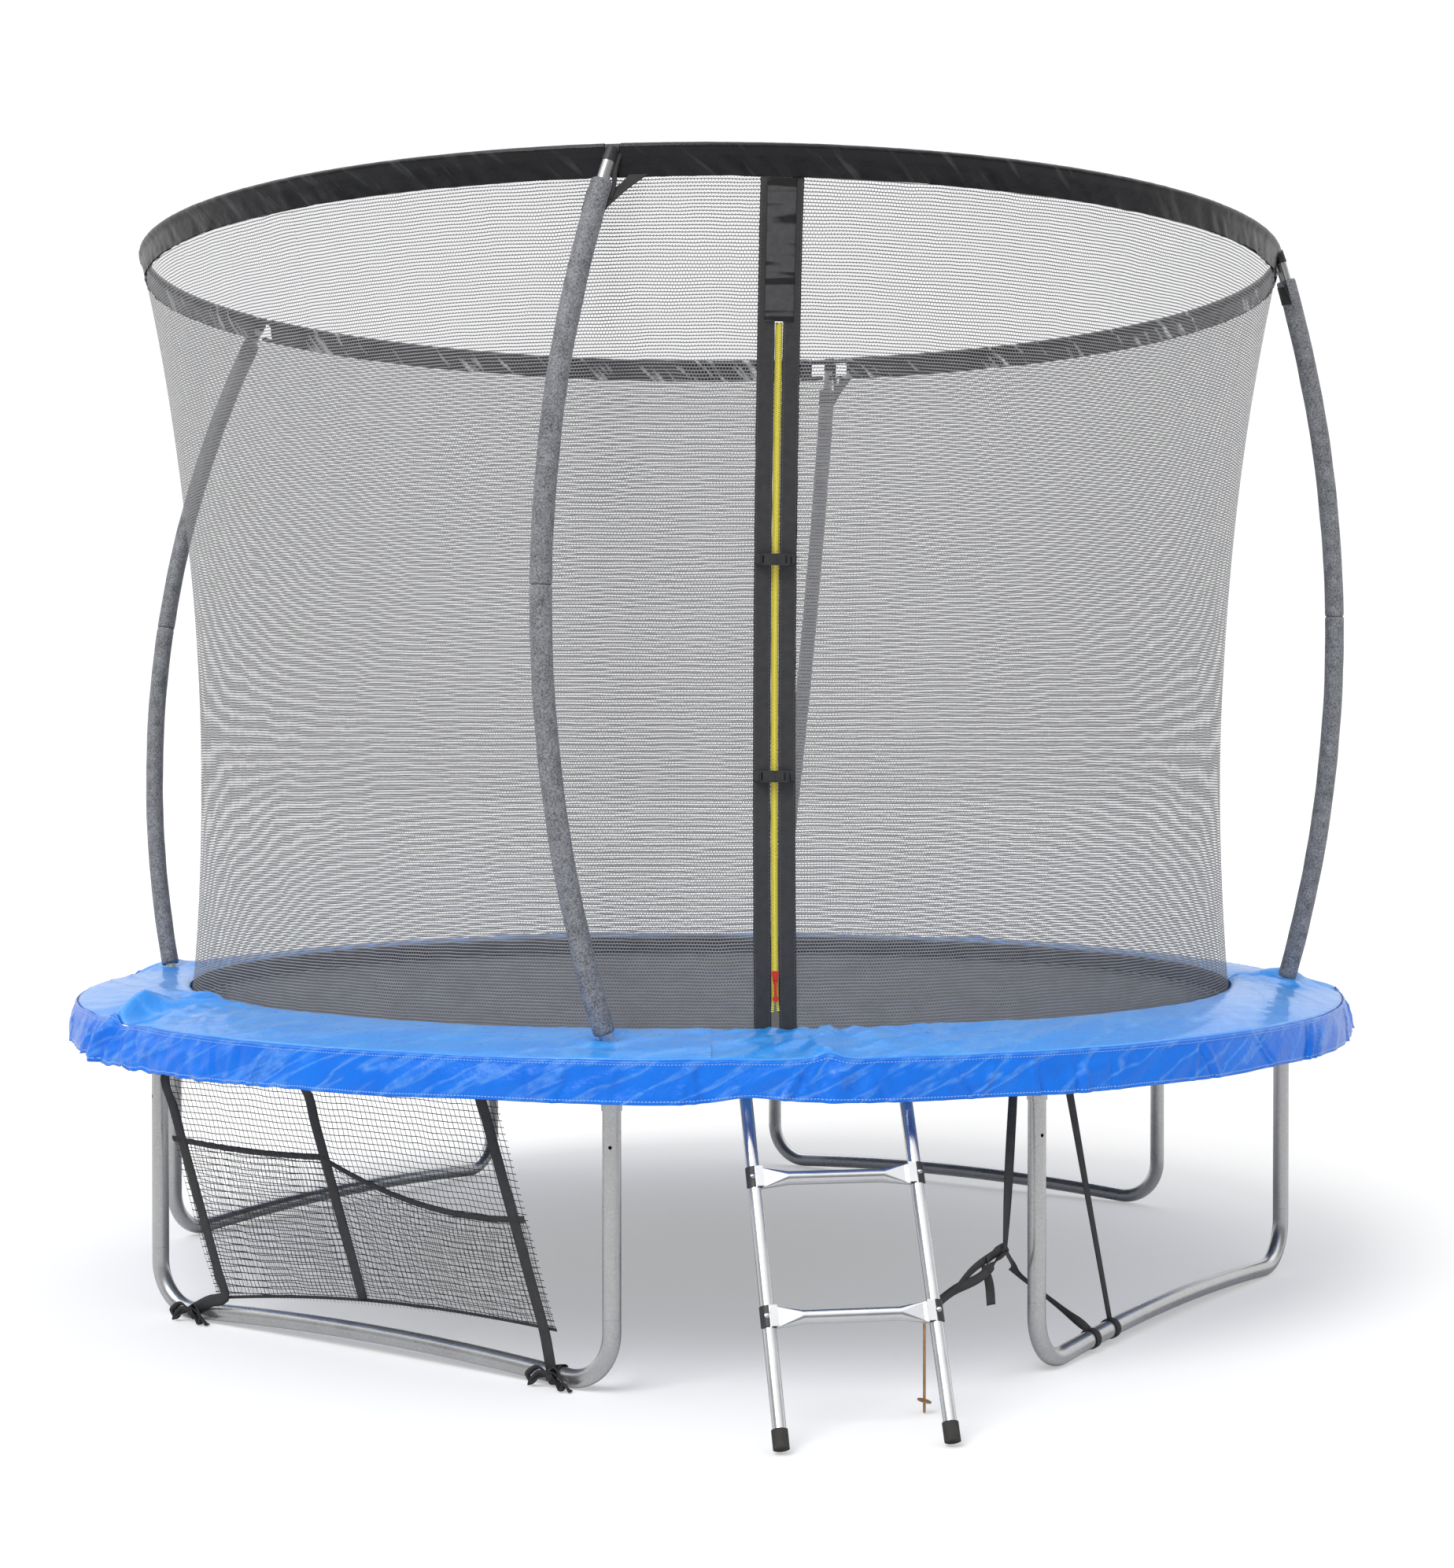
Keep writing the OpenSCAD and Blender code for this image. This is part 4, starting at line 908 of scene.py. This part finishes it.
def pad_line():
    """The pad's section: radius, height, and how free the cloth is to crumple."""
    line = [(PAD_IN + 0.004, PAD_LOW, 0.0), (PAD_IN, PAD_LOW + 0.006, 0.05)]
    line += [(PAD_IN + 0.0005, PAD_LOW + 0.006 + 0.026 * n / 4, 0.1) for n in range(1, 5)]
    top = 26
    for n in range(top + 1):
        share = n / top
        rise = PAD_LIP + (PAD_EDGE - PAD_LIP) * share + 0.036 * share * (1 - share)
        soft = -0.010 * exp(-share * 26)
        line.append((PAD_IN + 0.002 + (PAD_OUT - PAD_IN - 0.002) * share, PAD_LOW + rise + soft,
                     min(1, 0.25 + share * 5)))
    line += [(PAD_OUT + 0.0004, PAD_LOW + 0.003, 0.0), (PAD_OUT - 0.006, PAD_LOW, 0.0)]
    line += [(PAD_OUT - 0.006 + (PAD_IN + 0.010 - PAD_OUT) * n / 6, PAD_LOW, 0.0) for n in range(1, 7)]
    return line


PAD_LINE = pad_line()
SLOTS = [Bow(k).point(0.016) for k in range(4)]


def pad_skin(u, v):
    radius, z, free = PAD_LINE[round(v * (len(PAD_LINE) - 1))]
    azimuth = 360 * u
    share = (radius - PAD_IN) / (PAD_OUT - PAD_IN)
    z += pad_crumple(azimuth, share) * free * (1 - 0.6 * share**6)
    at = polar(radius, azimuth, z)
    if free > 0.2:
        for slot in SLOTS:
            gap = hypot(at.x - slot.x, at.y - slot.y)
            at.z -= 0.013 * bell(gap, 0.026) - 0.006 * bell(gap - 0.055, 0.02)
    return at


vinyl = Finish("blue_coated_cloth", roughness=0.3)
spot = vinyl.place()
scuff = vinyl.grain(spot, 7, 5, 0.62)
sheen = vinyl.grain(spot, 42, 4, 0.6)
plain = vinyl.colours(scuff, (0.003, 0.23, 0.88), (0.016, 0.38, 1.0))
u, v = vinyl.flat()
# Thin light blue lines along the wrinkles, where the cloth is glossiest, are painted highlights.
painted_wrinkle_highlights = vinyl.node("ShaderNodeCombineXYZ", {}, {0: u * 7 + v * 5, 1: v * 3.5})
painted_wrinkle_highlights = vinyl.grain(painted_wrinkle_highlights, 1.0, 3, 0.5)
painted_wrinkle_highlights = (1 - (painted_wrinkle_highlights - 0.5).size() * 16).either(0.0) * (sheen * 1.8 - 0.5).either(0.0)
vinyl.tint(painted_wrinkle_highlights * 0.4, plain, (0.30, 0.62, 1.0))
vinyl.set("Roughness", 0.2 + sheen * 0.22)
vinyl.set("Coat Weight", 0.35)
vinyl.set("Coat Roughness", 0.12)
vinyl.bump(vinyl.grain(spot, 90, 4, 0.6) + vinyl.grain(spot, 24, 4, 0.55) * 2.5, 0.0022, 0.55)
pad = make(
    "pad_cover", shaped_grid(1200, len(PAD_LINE) - 1, pad_skin, (9.5, 0.62)), vinyl,
    stands_for=["safety_pad"], closed=True,
)

# --- pad skirt ---
# The same blue cloth hangs from the pad's outer crease down past the frame, with creases,
# a bulge at every gather and a turned hem with a row of stitches.
SKIRT_TOP, SKIRT_DROP = 0.7245, 0.088
random.seed(7)
CREASES = [
    (
        random.uniform(-180, 180),
        random.uniform(-0.9, 0.9),
        random.uniform(0.4, 1.3) * random.choice((-1, 1, 1)),
    )
    for _ in range(64)
]


def skirt_cloth(u, v):
    azimuth = 360 * u - 180
    past, strength = from_gather(azimuth)
    way = radians(azimuth) * 1.66
    welt = bell(v - 0.045, 0.035) * 0.0034
    drape = 0.004 + 0.017 * v * (1.6 - 0.6 * v)
    slow = ripple(way * 4.6, v * 0.9, 1.0) * 0.0065
    quick = ripple(way * 15 + v * 2.1, v * 1.3, 6.0) * 0.0042
    fold = 0.0
    for centre, slant, depth in CREASES:
        off = ((azimuth - centre + 180) % 360 - 180) * 0.029 - slant * (v - 0.5) * 0.085
        if abs(off) < 0.05:
            fold += depth * (0.0062 * bell(off, 0.0062) - 0.0042 * bell(off - 0.015, 0.010))
    wobble = sin(past * 2.4 + v * 3) * exp(-abs(past) / 2.6)
    bunch = strength * (0.016 * bell(past, 1.6) + 0.010 * wobble)
    ragged = bell(azimuth + 52, 15) + 0.7 * bell(azimuth - 86, 9)
    ruffle = ripple(way * 26, v * 3, 8.0) * 0.010 * ragged
    swing = (slow + quick + fold + bunch + ruffle) * min(1, v * 2.4 + 0.05)
    drop = SKIRT_DROP * v
    hem_wave = ripple(way * 3.1, 5.0, 0) * 0.006 + ripple(way * 30, 3.0, 0) * 0.010 * ragged
    hem_wave += 0.012 * bell(azimuth - 2.5, 2.6) - 0.007 * ragged
    flare = 0.012 * v * ragged
    z = SKIRT_TOP - drop + hem_wave * v * v
    z += pad_crumple(azimuth, 0.97) * 0.4 * (1 - v)
    return polar(1.6505 + welt + drape + swing + flare, azimuth, z)


hemmed = Finish("blue_skirt_cloth", roughness=0.3)
spot = hemmed.place()
u, v = hemmed.flat()
scuff = hemmed.grain(spot, 9, 5, 0.62)
sheen = hemmed.grain(spot, 48, 4, 0.6)
dash = ((u / 0.0075).part() < 0.58) * ((v - 0.081).size() < 0.0009).either((v - 0.0075).size() < 0.0008)
body_blue = hemmed.colours(scuff, (0.001, 0.13, 0.74), (0.004, 0.24, 0.98))
# Thin light blue lines along the creases are painted highlights, as on the pad.
painted_wrinkle_highlights = hemmed.node("ShaderNodeCombineXYZ", {}, {0: u * 9 + v * 16, 1: v * 7})
painted_wrinkle_highlights = hemmed.grain(painted_wrinkle_highlights, 1.0, 3, 0.5)
painted_wrinkle_highlights = (1 - (painted_wrinkle_highlights - 0.5).size() * 22).either(0.0) * (sheen * 1.8 - 0.4).either(0.0)
body_blue = hemmed.colours(painted_wrinkle_highlights * 0.45, body_blue, (0.30, 0.62, 1.0))
hemmed.tint(dash, body_blue, (0.32, 0.52, 0.95))
hemmed.set("Roughness", 0.2 + sheen * 0.22)
hemmed.set("Coat Weight", 0.2)
hemmed.set("Specular IOR Level", 0.3)
hemmed.set("Coat Roughness", 0.12)
pressed = (v - 0.079).size() < 0.0016
creased = hemmed.grain(spot, 110, 4, 0.6) + hemmed.grain(spot, 28, 4, 0.55) * 2.5
hemmed.bump(creased - pressed * 0.5, 0.0022, 0.6)
skirt = make(
    "pad_skirt_cloth", shaped_grid(1500, 20, skirt_cloth, (10.5, 0.088)), hemmed,
    stands_for=["pad_skirt"], thick=0.0012,
)

# --- ladder ---
# Two bright plated tube stiles hook over the frame. Two rungs with flattened ends bolt on
# through black saddle plates, and rubber feet close the stiles.
plated = Finish("bright_plated_tube", metallic=0.95, roughness=0.22)
haze = plated.mottle((14, 4, 0.6), (0.58, 0.59, 0.61), (0.84, 0.845, 0.86), 0.12, 0.24)
plated.bump(haze, 0.0008, 0.3)
dress(plated, "ladder_stiles", "ladder_rungs")
rubber = Finish("black_rubber", roughness=0.75)
dirt = rubber.mottle((50, 4, 0.65), (0.012, 0.012, 0.013), (0.06, 0.057, 0.052))
rubber.bump(rubber.grain(rubber.place(), 400, 3) + dirt, 0.0006, 0.6)
dress(rubber, "ladder_feet")

# --- shoe organiser ---
# A black net hangs from the frame over the near leg, with a second net on it as a pocket.
# Three webbing straps carry it, and their ends are tied in bows round the bottom rail.
CHORD_IN, ORG_OUT, ORG_LOW = 1.34096, 0.023, 0.125
ORG_W, ORG_H, ORG_SLANT = 1.04, 0.47, -0.110
LEG_MID, KIT_MID = -35, 55
LEG_RIGHT, KIT_RIGHT = polar(1, LEG_MID + 90, 0), polar(1, KIT_MID + 90, 0)
STRAP_TURN = 0.0206


def leg_point(across, inward, z):
    return polar(CHORD_IN - inward, LEG_MID, z) + LEG_RIGHT * across


def arch(across):
    """Height of a leg's arched bottom rail."""
    return 0.04002 - 8.108 + sqrt(8.108**2 - across**2)


def on_organiser(share, rise, out):
    """A point on the hanging net: a share of its width, a height up it, and out from it."""
    tilt = radians(8)
    across = (share - 0.5) * ORG_W + ORG_SLANT * (rise / ORG_H - 0.5) - 0.020
    inward = -ORG_OUT - rise * sin(tilt) - out * cos(tilt)
    return leg_point(across, inward, ORG_LOW + rise * cos(tilt) - out * sin(tilt))


square_net = Finish("square_black_net", roughness=0.8)
u, v = square_net.flat()
pull = square_net.grain(square_net.place(), 9, 2) * 0.02
cells = (((u + pull) / 0.0135).part() < 0.125).either(((v + pull * 0.6) / 0.0142).part() < 0.125)
square_net.set("Alpha", cells * 1.0)
square_net.mottle((40, 3), (0.012, 0.012, 0.013), (0.06, 0.06, 0.065))
square_net.bump(cells, 0.0006, 0.5)


def hanging_net(u, v):
    rise = -0.004 + 0.53 * v - 0.060 * ((1 - u) * (1 - v)) ** 2
    sag = 0.012 * sin(pi * u * 2) ** 2 * (1 - v) + 0.006 * ripple(u * 3, v * 3, 0)
    lift = 0.012 * sin(pi * u) * (1 - v) ** 3
    return on_organiser(u, rise + lift, 0.001 - 0.008 * v - sag * 0.2)


def pocket_top(u):
    """Height of the pocket's slack hem across the net."""
    if u < 0.47:
        return 0.318 - 0.008 * sin(pi * u / 0.47)
    t = (u - 0.47) / 0.53
    return 0.312 - 0.098 * (1 - (1 - t) ** 2.4) + 0.022 * t**3


def pocket_net(u, v):
    rise = 0.002 + pocket_top(u) * v - 0.060 * ((1 - u) * (1 - v)) ** 2
    pleat = 0.006 * sin(u * 62 + 2 * sin(v * 3)) * sin(pi * min(1, v * 1.2)) ** 0.7
    belly = 0.024 * sin(pi * v) ** 0.7 * abs(sin(pi * (u / 0.47 if u < 0.47 else (u - 0.47) / 0.53)))
    return on_organiser(u, rise, 0.0045 + pleat * 0.6 + belly)


back_net = make(
    "organiser_back_net", shaped_grid(90, 44, hanging_net, (ORG_W, 0.53)), square_net,
    stands_for=["organiser_net"],
)
pocket = make(
    "organiser_pocket_net", shaped_grid(150, 40, pocket_net, (ORG_W * 1.25, 0.32)), square_net,
    stands_for=["organiser_pocket"],
)


def pocket_hem(u, v):
    rise = pocket_top(u) + 0.002 + (v - 0.5) * 0.014
    gather = 0.0022 * sin(u * 300 + 3 * sin(u * 40)) * (1 - abs(2 * v - 1))
    lift = ripple(u * 60, v * 3, 2) * 0.0016
    return on_organiser(u, rise + lift, 0.0055 + gather + 0.003 * sin(pi * v))


elastic = shaped_grid(320, 5, pocket_hem, (ORG_W, 0.014))
make("organiser_pocket_hem", elastic, webbing, thick=0.0012)


def lower_band(u, v):
    low = 0.012 * sin(pi * u) - 0.060 * (1 - u) ** 2
    return on_organiser(u, -0.004 + 0.007 * v + low, 0.0016)


edging = shaped_grid(90, 1, lower_band, (ORG_W, 0.007))
make("organiser_lower_hem", edging, webbing, thick=0.001)

belts = []
STRAP_AT = [-0.47, -0.03, 0.47]
TIE_AT = [-0.548, None, 0.540]
for n in range(3):
    share = 0.5 + STRAP_AT[n]
    across = (share - 0.5) * ORG_W + ORG_SLANT * 0.5 - 0.040
    rail_az = LEG_MID + degrees(asin(across / FRAME_R))
    rail = polar(FRAME_R, rail_az, RAIL_Z)
    out = polar(1, rail_az, 0)
    route = [on_organiser(share, r, 0.0072) for r in (0.0, 0.1, 0.2, 0.3, 0.4, 0.47)]
    sides = [LEG_RIGHT] * len(route)
    turn = [rail + (out * cos(a) + UP * sin(a)) * STRAP_TURN for a in angles(-100, 181, 35)]
    if n == 0:
        route.insert(0, on_organiser(share, -0.052, 0.0072))
        sides.append(sides[0])
    if TIE_AT[n] is not None:
        foot = leg_point(TIE_AT[n], -0.0225, arch(TIE_AT[n]) + 0.006)
        route = [foot, (foot + route[0]) / 2 + UP * 0.004] + route
        sides = sides[:2] + sides
    belts.append(ribbon(route + turn, 0.029, sides + sides[:1] * len(turn), 60, 3))
across, up, out = LEG_RIGHT, UP, polar(1, LEG_MID, 0)
for knot_x in (TIE_AT[0], TIE_AT[2]):
    rail_z = arch(knot_x)
    heart = leg_point(knot_x, -0.026, rail_z + 0.006)
    around = [leg_point(knot_x + 0.003 * sin(a), -0.0215 * cos(a), rail_z + 0.0215 * sin(a))
              for a in angles(0, 361, 24)]
    belts.append(ribbon(around, 0.022, [across + up * 0.2] * len(around), 34, 3))
    knot = [heart + up * 0.012 * sin(a) + out * 0.007 * cos(a) for a in angles(0, 361, 40)]
    belts.append(ribbon(knot, 0.017, [across + up * 0.3] * len(knot), 20, 4, 0.002))
    for side, size, droop in ((-1, 0.050, 0.012), (1, 0.044, 0.020)):
        bow_loop = [
            heart + out * 0.004,
            heart + across * side * size * 0.5 + up * 0.016 + out * 0.012,
            heart + across * side * size + up * (0.010 - droop) + out * 0.016,
            heart + across * side * size * 0.85 - up * (0.006 + droop) + out * 0.010,
            heart + across * side * size * 0.4 - up * 0.006 + out * 0.006,
            heart + out * 0.006,
        ]
        twist = [out + up * 0.7, out + up, up + out * 0.6, out - up * 0.4, out + up * 0.3, up]
        belts.append(ribbon(bow_loop, (0.012, 0.020), twist, 22, 3, 0.003))
    for side, reach in ((-1, 0.034), (1, 0.040)):
        tail = [
            heart + out * 0.006,
            heart + across * side * reach * 0.6 + out * 0.014 + up * 0.004,
            heart + across * side * reach * 1.3 - up * 0.020 + out * 0.010,
            heart + across * side * reach * 1.5 - up * 0.034 + out * 0.006,
        ]
        twist = [up + out * 0.4, up + out, out + up * 0.6, out + across * 0.4]
        belts.append(ribbon(tail, (0.014, 0.021), twist, 16, 3, 0.002))
carriers = merge(belts)
for vert in carriers.verts:
    # The tails lie on the ground
    vert.co.z = max(vert.co.z, 0.0016)
make("organiser_webbing", carriers, webbing, stands_for=["organiser_straps"], thick=0.0014)

# --- anchor kit ---
# Thin webbing runs from the frame to a ground peg and to the leg's bottom rail, so that wind
# can't lift the trampoline. The peg is bent from copper-coloured rod.
PEG = Vector((0.436, -1.644, 0.205))
JUNCTION = Vector((0.620, -1.480, 0.305))


def kit_leg(across, z):
    return polar(CHORD_IN, KIT_MID, z) + KIT_RIGHT * across


def rail_turn(azimuth):
    """Points of a strap's turn round the frame tube, ending below it."""
    heart, out = polar(FRAME_R, azimuth, RAIL_Z), polar(1, azimuth, 0)
    return [heart + (out * sin(a) - UP * cos(a)) * STRAP_TURN for a in angles(-330, 31, 36)]


def leg_turn(across):
    """Points of a strap's turn round the leg's bottom rail."""
    heart, out = kit_leg(across, arch(across)), polar(1, KIT_MID, 0)
    return [heart + (UP * cos(a) - out * sin(a)) * 0.0222 for a in angles(0, 361, 24)]


grip = PEG + Vector((0.0128, 0, 0.0096))
near_top, far_top = rail_turn(25.5), rail_turn(30.5)
post = Vector((0.668, -1.296, 0.215))
LOOP_AT = (-0.422, -0.322)
near_foot, far_foot = [kit_leg(x, 0.046) for x in LOOP_AT]
side = polar(1, 62, 0)


def toward_peg(share, x=0.0, y=0.0, z=0.0):
    """A point on the way from the junction to the peg's eye, moved aside."""
    return JUNCTION.lerp(grip, share) + Vector((x, y, z))


# Each strap: points, width, directions of its width, steps, columns, curl
KIT_STRAPS = [
    (near_top + [JUNCTION.lerp(near_top[-1], 0.5), JUNCTION], 0.020,
     [polar(1, 115, 0)] * len(near_top) + [polar(1, 100, 0), polar(1, 150, 0)], 50, 2),
    ([toward_peg(0, -0.004, 0, 0.002), toward_peg(0.4, -0.002, 0, 0.010), toward_peg(0.72), grip],
     (0.017, 0.024), [(0.3, 0.3, 1), (0.2, 0, 1), (0.5, 0.2, 0.6), (0.3, 0.3, 0.8)], 26, 3),
    ([toward_peg(0, 0.002, 0, -0.004), toward_peg(0.35, 0.004, 0, -0.014), toward_peg(0.7), grip],
     (0.015, 0.026), [(0.8, 0.1, 0.3), (0.2, 0.6, 0.6), (0.4, 0.3, 0.8), (0.4, 0.3, 0.7)], 26, 3),
    ([JUNCTION, JUNCTION.lerp(post, 0.5), post, post.lerp(near_foot, 0.5), near_foot], 0.020,
     [(0, 0.3, 1), (0, 0.5, 1), side, side, KIT_RIGHT], 30, 2),
    (far_top + [far_top[-1].lerp(far_foot, 0.5), far_foot], 0.020,
     [polar(1, 121, 0)] * len(far_top) + [polar(1, 140, 0), KIT_RIGHT], 60, 2),
    ([toward_peg(0.28), toward_peg(0.28, 0.010, 0.001, -0.040), toward_peg(0.28, 0.014, 0.002, -0.084)],
     (0.016, 0.021), [(1, 0.3, 0.3), (1, 0.1, 0), (1, 0.5, 0.1)], 14, 3, 0.002),
    ([toward_peg(0, 0.004, 0, 0.006), toward_peg(0, -0.022, -0.006, -0.008), toward_peg(0.26, 0, 0, 0.006)],
     0.021, [(0.2, 0, 1), (0.3, 0.2, 1), (0.2, 0.1, 1)], 12, 3, 0.003),
]
kit = [ribbon(*strap) for strap in KIT_STRAPS]
for across in LOOP_AT:
    turn = leg_turn(across)
    kit.append(ribbon(turn, 0.022, [KIT_RIGHT] * len(turn), 32, 2))
make("anchor_webbing", merge(kit), webbing, stands_for=["anchor_straps"], thick=0.0013)

copper = Finish("copper_rod", metallic=0.9, roughness=0.38)
copper.mottle((55, 4, 0.65), (0.30, 0.15, 0.07), (0.72, 0.47, 0.26), 0.28, 0.34)
dress(copper, "anchor_peg")
